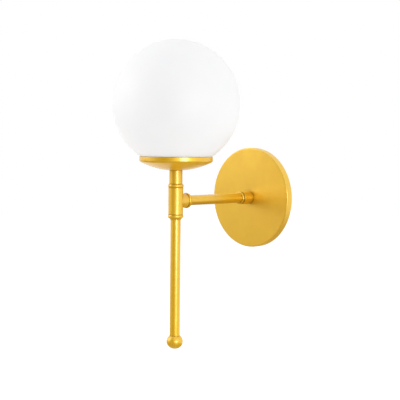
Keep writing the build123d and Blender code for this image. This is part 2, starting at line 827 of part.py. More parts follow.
# ---------------------------------------------------------------- all pieces
pieces = {
    "wall_bracket": make_wall_bracket(),
    "backplate": make_backplate(),
    "side_screws": make_side_screws(),
    "earth_screw": make_earth_screw(),
    "nipple_tag": make_nipple_tag(),
    "screw_tag": make_screw_tag(),
    "earth_lead": make_earth_lead(),
    "plate_washer": make_plate_washer(),
    "plate_nut": make_plate_nut(),
    "plate_nipple": make_plate_nipple(),
    "wire_connector": make_wire_connector(),
    "arm_coupling": make_arm_coupling(),
    "coupling_ring": make_coupling_ring(),
    "arm_tube": make_arm_tube(),
    "arm_nipple": make_arm_nipple(),
    "arm_ring": make_arm_ring(),
    "neck_ring": make_neck_ring(),
    "rod_ring": make_rod_ring(),
    "tee_body": make_tee_body(),
    "neck_sleeve": make_neck_sleeve(),
    "neck_nipple": make_neck_nipple(),
    "rod_nipple": make_rod_nipple(),
    "rod_tube": make_rod_tube(),
    "finial_nipple": make_finial_nipple(),
    "ball_finial": make_ball_finial(),
    "dish": make_dish(),
    "dish_nut": make_dish_nut(),
    "globe_springs": make_globe_springs(),
    "opal_globe": make_opal_globe(),
    "holder_base": make_holder_base(),
    "holder_shell": make_holder_shell(),
    "holder_core": make_holder_core(),
    "holder_terminals": make_holder_terminals(),
    "terminal_screws": make_terminal_screws(),
    "screw_shell": make_screw_shell(),
    "centre_contact": make_centre_contact(),
    "live_wire": make_live_wire(),
    "neutral_wire": make_neutral_wire(),
    "bulb_glass": make_bulb_glass(),
    "bulb_cap": make_bulb_cap(),
    "bulb_insulator": make_bulb_insulator(),
    "bulb_tip": make_bulb_tip(),
    "bulb_stem": make_bulb_stem(),
    "bulb_filaments": make_bulb_filaments(),
    "bulb_supports": make_bulb_supports(),
}

os.makedirs("parts", exist_ok=True)
for name, solid in pieces.items():
    export_step(solid, f"parts/{name}.step")

print(f"dish flat z {dish_flat_z:.2f}, rim z {rim_z:.2f}, bowl arc {bowl_r:.1f}")
print(f"globe centre z {globe_z:.2f}, edge z {globe_edge_z:.2f}, mouth radius {globe_mouth_r:.2f}")
print(f"holder z {holder_z:.2f}, bulb z {bulb_z:.2f} to {bulb_z + bulb_length:.2f}, ball z {ball_z:.2f}")
print(f"wire bends {terminal_bend_r} {tee_bend_r} {plate_bend_r} {pan_bend_r} {earth_loop_r}")
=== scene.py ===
# %% [markdown]
# # A globe wall sconce in brass and opal glass
#
# The light hangs on a round wall plate. A short arm carries a turned tee, the tee carries a shallow
# dish with an opal ball on it, and a rod with a small ball hangs below. This lesson builds its looks
# around a measured frame, one real piece at a time, and every piece rides the part of the frame that
# it belongs to: the fixture, the lift-off globe, or the bulb that screws out.

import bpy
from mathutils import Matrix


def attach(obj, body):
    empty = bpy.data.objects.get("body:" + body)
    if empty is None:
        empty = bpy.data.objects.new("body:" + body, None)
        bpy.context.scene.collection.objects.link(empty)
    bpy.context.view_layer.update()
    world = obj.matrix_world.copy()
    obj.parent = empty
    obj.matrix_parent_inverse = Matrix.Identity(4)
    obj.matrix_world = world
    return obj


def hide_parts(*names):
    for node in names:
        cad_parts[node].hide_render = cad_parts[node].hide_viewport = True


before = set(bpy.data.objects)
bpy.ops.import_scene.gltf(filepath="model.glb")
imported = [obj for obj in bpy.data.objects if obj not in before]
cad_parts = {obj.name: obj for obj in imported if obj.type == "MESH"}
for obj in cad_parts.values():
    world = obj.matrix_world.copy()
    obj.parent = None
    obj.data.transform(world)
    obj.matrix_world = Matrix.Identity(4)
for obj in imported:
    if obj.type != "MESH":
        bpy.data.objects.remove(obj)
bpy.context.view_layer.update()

# %% Tools used all through
from contextlib import contextmanager
from functools import partial
from math import atan2, cos, degrees, pi, radians, sin, sqrt

import bmesh
import bpy
from mathutils import Matrix, Vector

MM = 0.001
scene = bpy.context.scene
scene.view_settings.view_transform = "Standard"

# %% [markdown]
# ## The camera
#
# The photograph looks at the light from its right, nearly level and from a little over a metre away.
# The place, the turn and the focal length were worked out from edges in the photograph.
# A camera in Blender looks down its own -Z, with +Y up, so its axes are the columns of its matrix.

# %% Camera
CAMERA_PLACE = Vector((0.916833, -1.020821, 0.074350))
CAMERA_YAW = radians(44.7945)
CAMERA_PITCH = radians(3.2798)
CAMERA_ROLL = radians(0.4961)
CAMERA_LENS = 97.284

looking = Vector(
    (-sin(CAMERA_YAW) * cos(CAMERA_PITCH), cos(CAMERA_YAW) * cos(CAMERA_PITCH), -sin(CAMERA_PITCH))
)
level_right = Vector((cos(CAMERA_YAW), sin(CAMERA_YAW), 0))
level_up = level_right.cross(looking)
camera_right = cos(CAMERA_ROLL) * level_right + sin(CAMERA_ROLL) * level_up
camera_up = cos(CAMERA_ROLL) * level_up - sin(CAMERA_ROLL) * level_right

camera = bpy.data.objects.new("camera", bpy.data.cameras.new("camera"))
camera.data.lens = CAMERA_LENS
camera.data.sensor_width = 36
camera.data.sensor_fit = "HORIZONTAL"
camera.matrix_world = Matrix.Translation(CAMERA_PLACE) @ Matrix(
    [camera_right, camera_up, -looking]
).transposed().to_4x4()
scene.collection.objects.link(camera)
scene.camera = camera
print("camera looks along", [round(x, 3) for x in looking])

# %% [markdown]
# ## Writing node trees
#
# The world, every finish and the lathe further on are node trees. A few helpers let their steps be
# written one inside another, like a formula: `add` makes a node and feeds it, and `maths`, `ramp` and
# `tint` each give the socket that comes out. `ray_masks` tells what a surface or the world is seen by.

# %% Node helpers


def feed(tree, socket, value):
    """Gives an input its value: a link where the value is a socket, or else the value itself."""
    if isinstance(value, bpy.types.NodeSocket):
        tree.links.new(value, socket)
    else:
        socket.default_value = value


def connect(tree, node, **inputs):
    """Feeds a node's inputs by name, with _ for a space."""
    for name, value in inputs.items():
        feed(tree, node.inputs[name.replace("_", " ")], value)


def add(tree, kind, *values, **named):
    """A new node: values go to its inputs in order, and a name sets a property or an input."""
    node = tree.nodes.new(kind)
    for name, value in named.items():
        if hasattr(node, name):
            setattr(node, name, value)
        else:
            connect(tree, node, **{name: value})
    for socket, value in zip(node.inputs, values):
        feed(tree, socket, value)
    return node


def maths(tree, operation, *values, clamp=False):
    """One arithmetic step between sockets or numbers."""
    return add(tree, "ShaderNodeMath", *values, operation=operation, use_clamp=clamp).outputs[0]


def ramp(tree, value, low, high, out_low=0.0, out_high=1.0):
    """Smooth step of a value from one range into another."""
    numbers = (value, low, high, out_low, out_high)
    return add(tree, "ShaderNodeMapRange", *numbers, interpolation_type="SMOOTHSTEP").outputs[0]


def tint(tree, factor, first, second):
    """Colour between two colours; each may be three numbers or a socket."""
    node = add(tree, "ShaderNodeMix", factor, data_type="RGBA")
    for place, shade in ((6, first), (7, second)):  # where a Mix node keeps its two colours
        feed(tree, node.inputs[place], (*shade, 1) if isinstance(shade, tuple) else shade)
    return node.outputs[2]


def ray_masks(tree):
    """Two masks: rays that metal mirrors, and rays for which the paper has to stay white."""
    ray = add(tree, "ShaderNodeLightPath").outputs
    mirrored = maths(tree, "SUBTRACT", ray["Is Glossy Ray"], ray["Is Transmission Ray"], clamp=True)
    seen = maths(tree, "MAXIMUM", ray["Is Camera Ray"], ray["Is Transmission Ray"])
    return mirrored, maths(tree, "MAXIMUM", seen, ray["Is Glossy Ray"])


print("node helpers ready")

# %% [markdown]
# ## The studio
#
# The background is white paper. A world that is white only for what the camera, a mirror or clear
# glass sees keeps the paper white without more light on the object. Metal needs something darker to
# mirror as well, or it looks flat, so it also sees one soft dark flag, as a photographer puts a black
# card beside a metal object. A ray that glass lets through counts as mirrored too, so it is taken out
# of the flag's share, and the clear bulb stays clear.

# %% World
PAPER = 1.0
ROOM_LIGHT = 0.88
FLAG_AZIMUTH = radians(-82)  # where the dark flag stands round the object, from +X towards +Y
FLAG_HALF_WIDTH = radians(40)
FLAG_COLOUR = (0.05, 0.03, 0.01)
PAPER_COLOUR = (1, 1, 1)


def bearing_mask(tree, direction, azimuth, half_width):
    """1 where a direction points to an azimuth, and 0 beyond half_width to each side."""
    vector_maths = partial(add, tree, "ShaderNodeVectorMath")
    flat = vector_maths(direction, (1, 1, 0), operation="MULTIPLY")
    unit = vector_maths(flat.outputs[0], operation="NORMALIZE")
    aim = (cos(azimuth), sin(azimuth), 0)
    dot = vector_maths(unit.outputs[0], aim, operation="DOT_PRODUCT")
    return ramp(tree, dot.outputs["Value"], cos(half_width), 1.0)


scene.world = bpy.data.worlds.new("studio")
scene.world.use_nodes = True
sky = scene.world.node_tree
sky.nodes.clear()
mirrored, seen = ray_masks(sky)
where = add(sky, "ShaderNodeTexCoord").outputs["Generated"]
flag = maths(sky, "MULTIPLY", bearing_mask(sky, where, FLAG_AZIMUTH, FLAG_HALF_WIDTH), mirrored)
strength = add(sky, "ShaderNodeMix", data_type="FLOAT", Factor=seen, A=ROOM_LIGHT, B=PAPER)
backdrop = tint(sky, flag, PAPER_COLOUR, FLAG_COLOUR)
paper = add(sky, "ShaderNodeBackground", Color=backdrop, Strength=strength.outputs[0])
add(sky, "ShaderNodeOutputWorld", Surface=paper.outputs[0])
print("world nodes:", len(sky.nodes))

# %% [markdown]
# ## Softboxes and floor
#
# Four softboxes light the set, each set by the brightness of its face, so that a box can change size
# and keep its look. The gleam stands to the right of the camera and draws the whiter line down every
# turned piece; it is only mirrored, so the opal ball keeps its even tone. The fill is its opposite, a
# wide box that lights and isn't mirrored. The key stands far to the left, where the wall plate mirrors
# it softly, and a weak box overhead rounds the ball.
#
# The floor is far below, as under a real wall light, and pale enough to meet the paper. What metal
# mirrors of its near part is dark and warm, which gives the brass its depth. Its underside is clear, so
# the light can also be looked at from below.

# %% Lights
MIDDLE = Vector((0, -0.10, 0.01))
SOFTBOXES = {  # azimuth and elevation in degrees, distance and side in metres, brightness
    "gleam_softbox": (-19, 0, 1.7, 0.56, 14.0),
    "fill_softbox": (18, 12, 1.8, 1.2, 1.0),
    "overhead_softbox": (-60, 62, 1.3, 1.0, 0.4),
    "key_softbox": (-140, 20, 1.6, 0.8, 2.1),
}


def softbox(name, azimuth, elevation, distance, side, brightness):
    """Square lamp that faces the middle of the object; azimuth is from +X towards +Y."""
    a, e = radians(azimuth), radians(elevation)
    place = MIDDLE + distance * Vector((cos(a) * cos(e), sin(a) * cos(e), sin(e)))
    data = bpy.data.lights.new(name, "AREA")
    data.shape = "RECTANGLE"
    data.size = data.size_y = side
    data.energy = brightness * pi * side * side
    lamp = bpy.data.objects.new(name, data)
    lamp.location = place
    lamp.rotation_euler = (MIDDLE - place).to_track_quat("-Z", "Y").to_euler()
    scene.collection.objects.link(lamp)
    return lamp


lamps = {name: softbox(name, *numbers) for name, numbers in SOFTBOXES.items()}
lamps["gleam_softbox"].visible_diffuse = False
lamps["fill_softbox"].visible_glossy = False
print("lamps:", list(lamps))

# %% Floor
FLOOR_Z, FLOOR_HALF = -0.62, 7.0
FLOOR_COLOUR = (0.86, 0.86, 0.86)
FLOOR_IN_METAL = (0.40, 0.28, 0.08)
FLOOR_LIFT, FLOOR_LIFT_SEEN = 0.16, 0.20
# where the near part begins and is full, in metres: in front, to the camera's right, and behind
FRONT_REACH, RIGHT_REACH, BEHIND_REACH = (0.6, -0.4), (-0.45, 0.15), (1.4, 0.7)
RIGHT_X, RIGHT_Y, LEAST_AT_RIGHT = 0.69, 0.72, 0.05

square = ((-1, -1), (1, -1), (1, 1), (-1, 1))
floor_mesh = bpy.data.meshes.new("floor")
floor_mesh.from_pydata([(x * FLOOR_HALF, y * FLOOR_HALF, FLOOR_Z) for x, y in square], [], [(0, 1, 2, 3)])
floor = bpy.data.objects.new("floor", floor_mesh)
scene.collection.objects.link(floor)

floor_paint = bpy.data.materials.new("pale_floor")
floor_paint.use_nodes = True
floor_mesh.materials.append(floor_paint)
tree = floor_paint.node_tree
tree.nodes.clear()
mirrored, seen = ray_masks(tree)
place = add(tree, "ShaderNodeTexCoord").outputs["Object"]
spread = add(tree, "ShaderNodeSeparateXYZ", place).outputs
in_front = ramp(tree, spread["Y"], *FRONT_REACH)
to_right = maths(tree, "MULTIPLY", spread["Y"], RIGHT_Y)
to_right = maths(tree, "MULTIPLY_ADD", spread["X"], RIGHT_X, to_right)
at_right = ramp(tree, to_right, *RIGHT_REACH, LEAST_AT_RIGHT, 1.0)
at_right = maths(tree, "MULTIPLY", at_right, ramp(tree, spread["Y"], *BEHIND_REACH))
dark = maths(tree, "MULTIPLY", mirrored, maths(tree, "MAXIMUM", in_front, at_right))
glow = maths(tree, "MULTIPLY_ADD", seen, FLOOR_LIFT_SEEN, FLOOR_LIFT)
glow = maths(tree, "MULTIPLY", glow, maths(tree, "SUBTRACT", 1.0, dark))
paint = add(tree, "ShaderNodeBsdfDiffuse", Color=tint(tree, dark, FLOOR_COLOUR, FLOOR_IN_METAL))
lift = add(tree, "ShaderNodeEmission", Color=(1, 1, 1, 1), Strength=glow)
from_above = add(tree, "ShaderNodeAddShader", paint.outputs[0], lift.outputs[0])
underside = add(tree, "ShaderNodeNewGeometry").outputs["Backfacing"]
clear = add(tree, "ShaderNodeBsdfTransparent")
whole = add(tree, "ShaderNodeMixShader", underside, from_above.outputs[0], clear.outputs[0])
add(tree, "ShaderNodeOutputMaterial", Surface=whole.outputs[0])
print("floor nodes:", len(tree.nodes))

# %% [markdown]
# ## Finishes: what the materials share
#
# Four effects turn up in several finishes, so each is a node group, built once and given its own
# values in every material.
# - *Lathe lines*: fine rings left by turning or spinning. They run round the axis, so they depend on
#   the distance from it and on the height along it, and never on the angle.
# - *Mottling*: slow, soft changes of tone over some millimetres.
# - *Fine grain*: a short, sharp noise for cast, plated and moulded skins.
# - *Edges and corners*: edges are rubbed brighter, and hollows are darker with dirt and painted shade.
#   The mesh's own curvature tells them apart.

# %% Shader node groups
BANDS_PER_METRE = 260.0
TONE_RANGE = (0.3, 0.7)
SPECKS_FINER, SPECK_RANGE = 9.0, (0.66, 0.74)


def new_group(name, inputs, outputs):
    """Empty shader node group with float or vector sockets; gives its tree and inner ends."""
    group = bpy.data.node_groups.new(name, "ShaderNodeTree")
    for label, start in inputs:
        kind = "NodeSocketVector" if label == "Vector" else "NodeSocketFloat"
        socket = group.interface.new_socket(label, in_out="INPUT", socket_type=kind)
        if start is not None:
            socket.default_value = start
    for label in outputs:
        group.interface.new_socket(label, in_out="OUTPUT", socket_type="NodeSocketFloat")
    return group, group.nodes.new("NodeGroupInput").outputs, group.nodes.new("NodeGroupOutput").inputs


def noise(tree, vector, scale, detail=2.0, roughness=0.5):
    """Noise texture whose scale may be a number or a socket."""
    values = {"Vector": vector, "Scale": scale, "Detail": detail, "Roughness": roughness}
    return add(tree, "ShaderNodeTexNoise", **values).outputs["Fac"]


lathe_lines, given, made = new_group(
    "Lathe lines", [("Vector", None), ("Lines per metre", 2500.0)], ["Lines", "Bands"]
)
split = add(lathe_lines, "ShaderNodeSeparateXYZ", given["Vector"]).outputs
flat_x = maths(lathe_lines, "MULTIPLY", split["X"], split["X"])
flat_sum = maths(lathe_lines, "MULTIPLY_ADD", split["Y"], split["Y"], flat_x)
from_axis = maths(lathe_lines, "SQRT", flat_sum)
profile_place = add(lathe_lines, "ShaderNodeCombineXYZ", X=from_axis, Y=split["Z"]).outputs[0]
feed(lathe_lines, made["Lines"], noise(lathe_lines, profile_place, given["Lines per metre"], 3.0, 0.6))
feed(lathe_lines, made["Bands"], noise(lathe_lines, profile_place, BANDS_PER_METRE, 1.0))

mottling, given, made = new_group("Mottling", [("Vector", None), ("Size", 0.012)], ["Tone", "Specks"])
per_metre = maths(mottling, "DIVIDE", 1.0, given["Size"])
tone = noise(mottling, given["Vector"], per_metre, 3.0, 0.55)
feed(mottling, made["Tone"], ramp(mottling, tone, *TONE_RANGE))
finer = maths(mottling, "MULTIPLY", per_metre, SPECKS_FINER)
feed(mottling, made["Specks"], ramp(mottling, noise(mottling, given["Vector"], finer, 1.0), *SPECK_RANGE))

fine_grain, given, made = new_group("Fine grain", [("Vector", None), ("Size", 0.0005)], ["Height"])
per_metre = maths(fine_grain, "DIVIDE", 1.0, given["Size"])
feed(fine_grain, made["Height"], noise(fine_grain, given["Vector"], per_metre, 3.0, 0.65))

edges, given, made = new_group("Edges and corners", [("Reach", 0.05)], ["Edge", "Hollow"])
curvature = add(edges, "ShaderNodeNewGeometry").outputs["Pointiness"]
above = maths(edges, "SUBTRACT", curvature, 0.5)  # a flat place has a pointiness of one half
feed(edges, made["Edge"], maths(edges, "DIVIDE", above, given["Reach"], clamp=True))
below = maths(edges, "MULTIPLY", above, -1.0)
feed(edges, made["Hollow"], maths(edges, "DIVIDE", below, given["Reach"], clamp=True))
print("shader groups:", [g.name for g in bpy.data.node_groups])

# %% [markdown]
# ## Finishes: the materials
#
# Every material starts the same way: object coordinates, shifted by a Mapping node so that the pattern
# turns about the real piece's own axis. The upright's axis is vertical, 138 mm out from the wall. The
# arm's and the plate's axis points out of the wall.

# %% Material helpers
REACH = 138.0
UPRIGHT = Matrix.Translation((0, -REACH * MM, 0))
FROM_WALL = Matrix.Rotation(radians(90), 4, "X")
AXES = {
    "upright": ((0, REACH * MM, 0), (0, 0, 0)),
    "wall": ((0, 0, 0), (radians(-90), 0, 0)),
}


def start_material(name, axis="upright", **sockets):
    """New material: gives it, its tree, its Principled node and coordinates about an axis."""
    material = bpy.data.materials.new(name)
    material.use_nodes = True
    tree = material.node_tree
    shader = tree.nodes["Principled BSDF"]
    connect(tree, shader, **sockets)
    place = add(tree, "ShaderNodeTexCoord").outputs["Object"]
    location, rotation = AXES[axis]
    mapping = add(tree, "ShaderNodeMapping", Vector=place, Location=location, Rotation=rotation)
    return material, tree, shader, mapping.outputs["Vector"]


def place_group(tree, group, **values):
    """A node group in a material, with its own values; gives its outputs."""
    return add(tree, "ShaderNodeGroup", node_tree=group, **values).outputs


def skin_groups(tree, vector, mottle, grain_size, edge_reach):
    """What nearly every finish has: mottling, the height of its grain, and edges and hollows."""
    spots = place_group(tree, mottling, Vector=vector, Size=mottle)
    grain = place_group(tree, fine_grain, Vector=vector, Size=grain_size)["Height"]
    return spots, grain, place_group(tree, edges, Reach=edge_reach)


def layered(tree, base, *layers):
    """Colours laid over a base in turn; each layer is a mask, its strength and its colour."""
    for mask, strength, shade in layers:
        factor = mask if strength == 1 else maths(tree, "MULTIPLY", mask, strength)
        base = tint(tree, factor, base, shade)
    return base


def raised(tree, height, depth, strength=1.0):
    """Normal of a bump of a given depth in metres."""
    return add(tree, "ShaderNodeBump", Strength=strength, Distance=depth, Height=height).outputs["Normal"]


def colour(*shade):
    """sRGB bytes as the linear colour that a socket takes."""
    parts = [byte / 255 for byte in shade]
    return tuple(part / 12.92 if part <= 0.04045 else ((part + 0.055) / 1.055) ** 2.4 for part in parts)


def scaled(shade, factor):
    """The same colour, darker or brighter."""
    return tuple(min(1.0, factor * part) for part in shade)


print("material helpers ready")

# %% [markdown]
# ### Satin brass under lacquer
#
# The seen brass is a warm yellow with a soft sheen: the metal itself scatters, and a thin lacquer on it
# gives the whiter gleam on top. So the base is part metal and part plain colour, with no white shine of
# its own, under a smoother clear coat whose shine is white. The arm and its coupling mirror the wall
# plate and are more metallic. Turning leaves faint rings, handling leaves slow changes of tone, edges
# are a little brighter than hollows, and in the joints the coat is taken off and the colour is darkened
# with dirt and painted shade.

# %% Satin brass
BRASS = (0.87, 0.535, 0.012)
BRASS_DEEP = (0.60, 0.27, 0.004)
BRASS_EDGE = (0.92, 0.64, 0.10)
# dark brown of dirt and painted shade in the joints
JOINT_DIRT_AND_SHADE = (0.20, 0.085, 0.006)
BRASS_GRAIN, BRASS_GRAIN_DEPTH = 0.0008, 0.000002


def satin_brass(name, axis, lines, roughness, mottle=0.014, metal=0.62, sheen=0.27):
    """Lacquered brass; a piece's own joint attribute says where dirt and painted shade darken it."""
    material, tree, shader, vector = start_material(
        name, axis, Metallic=metal, Specular_IOR_Level=0.0, Coat_Roughness=sheen, Coat_IOR=1.65
    )
    rings = place_group(tree, lathe_lines, Vector=vector, Lines_per_metre=lines)
    spots, grain, rubbed_and_shaded = skin_groups(tree, vector, mottle, BRASS_GRAIN, 0.06)
    joint = add(tree, "ShaderNodeAttribute", attribute_name="joint").outputs["Fac"]
    shade = layered(
        tree,
        BRASS,
        (spots["Tone"], 0.14, BRASS_DEEP),
        (rings["Lines"], 0.12, BRASS_EDGE),
        # darker hollows: dirt and painted shade
        (rubbed_and_shaded["Hollow"], 0.75, BRASS_DEEP),
        (rubbed_and_shaded["Edge"], 0.45, BRASS_EDGE),
        # joints darkened with dirt and painted shade
        (joint, 1, JOINT_DIRT_AND_SHADE),
    )
    rough = maths(tree, "MULTIPLY_ADD", spots["Tone"], 0.06, roughness - 0.07)
    rough = maths(tree, "MULTIPLY_ADD", rings["Bands"], 0.04, rough)
    lacquer = maths(tree, "SUBTRACT", 1.0, joint)
    normal = raised(tree, grain, BRASS_GRAIN_DEPTH)
    connect(tree, shader, Base_Color=shade, Roughness=rough, Coat_Weight=lacquer, Normal=normal)
    return material


brass_upright = satin_brass("satin_brass_upright", "upright", 2600.0, 0.56)
brass_wall = satin_brass("satin_brass_wall", "wall", 2600.0, 0.5, metal=0.88)
brass_plate = satin_brass("satin_brass_plate", "wall", 1500.0, 0.4, 0.02, sheen=0.38)
brass_dish = satin_brass("satin_brass_dish", "upright", 1700.0, 0.55, 0.018)
print("brass:", [m.name for m in bpy.data.materials if "satin" in m.name])

# %% [markdown]
# ### Opal glass, clear glass and ceramics
#
# Opal glass is white all through and glossy on its skin: light goes a few millimetres in and comes out
# again, which is what subsurface scattering does. Blown glass is never quite even, so its skin has a
# very slow ripple. Clear glass keeps full transmission and a plain surface.

# %% Opal and clear glass
opal, tree, shader, vector = start_material(
    "opal_glass",
    Roughness=0.5,
    IOR=1.4,
    Subsurface_Weight=0.35,
    Subsurface_Radius=(1.0, 0.95, 0.9),
    Subsurface_Scale=0.004,
)
clouds = place_group(tree, mottling, Vector=vector, Size=0.05)["Tone"]
shade = tint(tree, clouds, colour(248, 247, 247), colour(245, 245, 246))
ripple = noise(tree, vector, 28.0, 1.0)
connect(tree, shader, Base_Color=shade, Normal=raised(tree, ripple, 0.0004, 0.5))

clear_glass, tree, shader, vector = start_material(
    "clear_bulb_glass", Base_Color=(0.99, 0.995, 0.99, 1), Roughness=0.0, IOR=1.47, Transmission_Weight=1.0
)
ripple = noise(tree, vector, 40.0, 1.0)
connect(tree, shader, Normal=raised(tree, ripple, 0.00006, 0.3))

ceramic, tree, shader, vector = start_material("glazed_ceramic", Roughness=0.2, IOR=1.5)
spots, grain, rubbed_and_shaded = skin_groups(tree, vector, 0.006, 0.0012, 0.06)
shade = layered(
    tree,
    colour(240, 236, 226),
    (spots["Tone"], 1, colour(233, 228, 216)),
    (spots["Specks"], 0.5, colour(170, 150, 120)),
    # darker hollows: dirt and painted shade
    (rubbed_and_shaded["Hollow"], 0.4, colour(190, 182, 168)),
)
connect(tree, shader, Base_Color=shade, Normal=raised(tree, grain, 0.00002))
print("glass and ceramic ready")

# %% [markdown]
# ### Plain metals
#
# Nuts and threaded tubes are bare brass, duller than the lacquered pieces. The bracket and screws are
# zinc plated, with the faint blue and straw clouds of that plating. The bulb's cap is bright nickel.
# They differ only in their numbers, so one function makes them all.

# %% Plain metals


def plain_metal(name, axis, light, dark, roughness, grain_size, mottle, lines=2600.0, hue=None, depth=1e-5):
    """Bare or plated metal between two sRGB tones, clouded with a third where it has a hue."""
    material, tree, shader, vector = start_material(name, axis, Metallic=1.0)
    rings = place_group(tree, lathe_lines, Vector=vector, Lines_per_metre=lines)
    spots, grain, rubbed_and_shaded = skin_groups(tree, vector, mottle, grain_size, 0.07)
    light, dark = colour(*light), colour(*dark)
    shade = tint(tree, spots["Tone"], light, dark)
    if hue:
        clouds = place_group(tree, mottling, Vector=vector, Size=mottle * 2.6)
        shade = layered(tree, shade, (clouds["Tone"], 0.45, colour(*hue)))
    # darker hollows are dirt and painted shade; brighter edges are wear
    worn_layers = ((rubbed_and_shaded["Hollow"], 0.7, scaled(dark, 0.45)), (rubbed_and_shaded["Edge"], 0.5, scaled(light, 1.25)))
    rough = maths(tree, "MULTIPLY_ADD", grain, 0.08, roughness - 0.04)
    rough = maths(tree, "MULTIPLY_ADD", spots["Specks"], 0.12, rough)
    normal = raised(tree, maths(tree, "ADD", grain, rings["Lines"]), depth)
    connect(tree, shader, Base_Color=layered(tree, shade, *worn_layers), Roughness=rough, Normal=normal)
    return material


RAW_BRASS = ((219, 184, 108), (196, 156, 80), 0.36, 0.0004, 0.005)
ZINC = ((214, 216, 220), (188, 190, 192))
BLUE_CLOUD, STRAW_CLOUD = (178, 196, 224), (206, 200, 180)
raw_brass_wall = plain_metal("raw_brass_wall", "wall", *RAW_BRASS)
raw_brass_upright = plain_metal("raw_brass_upright", "upright", *RAW_BRASS)
zinc_wall = plain_metal("zinc_plate_wall", "wall", *ZINC, 0.34, 0.0007, 0.007, 900.0, BLUE_CLOUD)
spring_steel = plain_metal(
    "spring_steel", "upright", *ZINC, 0.26, 0.0005, 0.005, 1500.0, STRAW_CLOUD, 0.000003
)
tinned = plain_metal("tinned_copper", "wall", (206, 202, 194), (184, 176, 164), 0.3, 0.0003, 0.003)
nickel = plain_metal("nickel_cap", "upright", (226, 222, 212), (206, 201, 190), 0.22, 0.0003, 0.004, 3200.0)
print("materials so far:", len(bpy.data.materials))

# %% [markdown]
# ### Plastics, paint and wire insulation
#
# Moulded plastic has a fine, even grain and rounded, slightly shinier edges. Wire insulation is soft and
# smooth; the earth wire's two colours run along it in stripes, so they follow an attribute that the
# wire's own mesh carries and not the room's coordinates.

# %% Plastics and insulation


def moulded(name, axis, light, dark, roughness, grain_size=0.0004, depth=0.000015, mottle=0.01):
    """Moulded, painted or fired skin between two sRGB tones."""
    material, tree, shader, vector = start_material(name, axis, IOR=1.5)
    spots, grain, rubbed_and_shaded = skin_groups(tree, vector, mottle, grain_size, 0.07)
    light, dark = colour(*light), colour(*dark)
    shade = layered(
        tree,
        light,
        (spots["Tone"], 1, dark),
        # darker hollows: dirt and painted shade
        (rubbed_and_shaded["Hollow"], 0.5, scaled(dark, 0.6)),
        (spots["Specks"], 0.08, scaled(dark, 0.5)),
    )
    rough = maths(tree, "MULTIPLY_ADD", spots["Tone"], 0.06, roughness)
    rough = maths(tree, "MULTIPLY_ADD", rubbed_and_shaded["Edge"], -0.06, rough)
    connect(tree, shader, Base_Color=shade, Roughness=rough, Normal=raised(tree, grain, depth))
    return material


holder_plastic = moulded("holder_plastic", "upright", (236, 233, 224), (228, 224, 212), 0.42)
connector_plastic = moulded(
    "connector_plastic", "wall", (222, 224, 224), (208, 211, 212), 0.34, 0.0003, 0.000003
)
button_plastic = moulded("button_plastic", "wall", (226, 116, 34), (206, 98, 24), 0.36)
black_glass = moulded("black_insulator", "upright", (34, 32, 34), (22, 21, 23), 0.16)
green_paint = moulded("green_screw", "wall", (52, 140, 74), (36, 112, 56), 0.28)
live_skin = moulded("live_insulation", "wall", (112, 68, 40), (94, 54, 30), 0.38)
neutral_skin = moulded("neutral_insulation", "wall", (52, 108, 186), (38, 88, 164), 0.38)
phosphor = moulded("led_phosphor", "upright", (248, 214, 120), (240, 196, 92), 0.5, 0.0002, 0.00002, 0.002)

earth_skin, tree, shader, vector = start_material("earth_insulation", "wall", Roughness=0.36, IOR=1.5)
around = add(tree, "ShaderNodeAttribute", attribute_name="around").outputs["Fac"]
spots = place_group(tree, mottling, Vector=vector, Size=0.006)
green = tint(tree, spots["Tone"], colour(62, 142, 58), colour(50, 122, 48))
yellow = tint(tree, spots["Tone"], colour(238, 210, 52), colour(224, 192, 44))
striped = tint(tree, ramp(tree, around, 0.05, 0.2), green, yellow)
grain = place_group(tree, fine_grain, Vector=vector, Size=0.0005)["Height"]
connect(tree, shader, Base_Color=striped, Normal=raised(tree, grain, 0.00001))
print("materials so far:", len(bpy.data.materials))

# %% [markdown]
# ## The lathe
#
# Nearly every brass piece of this light is turned or spun, so its shape follows one rule: a closed
# outline carried round an axis. A Geometry Nodes tree is a good lathe. It makes a grid with one row for
# each point of the outline and one column for each step round the axis, moves every grid point to its
# place, and welds the seam. Two more inputs cut what a lathe also cuts: a screw thread, which is a wave
# that climbs by its pitch in each turn, and upright flutes. The outline says where by an attribute.

# %% Tree helpers


def new_tree(name, inputs):
    """Geometry Nodes tree with geometry in and out, and named inputs."""
    tree = bpy.data.node_groups.new(name, "GeometryNodeTree")
    for label, kind in {"Geometry": "Geometry", **inputs}.items():
        tree.interface.new_socket(label, in_out="INPUT", socket_type="NodeSocket" + kind)
    tree.interface.new_socket("Geometry", in_out="OUTPUT", socket_type="NodeSocketGeometry")
    return tree, tree.nodes.new("NodeGroupInput").outputs, tree.nodes.new("NodeGroupOutput").inputs


def named_number(tree, label):
    """A number that the mesh carries as an attribute."""
    node = add(tree, "GeometryNodeInputNamedAttribute", data_type="FLOAT", Name=label)
    return node.outputs["Attribute"]


def sampled(tree, geometry, value, index, data_type="FLOAT"):
    """A value of the outline's points, read at a given point."""
    node = add(tree, "GeometryNodeSampleIndex", data_type=data_type, domain="POINT")
    connect(tree, node, Geometry=geometry, Value=value, Index=index)
    return node.outputs[0]


def on_circle(tree, radius, angle, height=0.0):
    """A place given by its radius, its angle and its height."""
    x = maths(tree, "MULTIPLY", radius, maths(tree, "COSINE", angle))
    y = maths(tree, "MULTIPLY", radius, maths(tree, "SINE", angle))
    return add(tree, "ShaderNodeCombineXYZ", x, y, height).outputs[0]


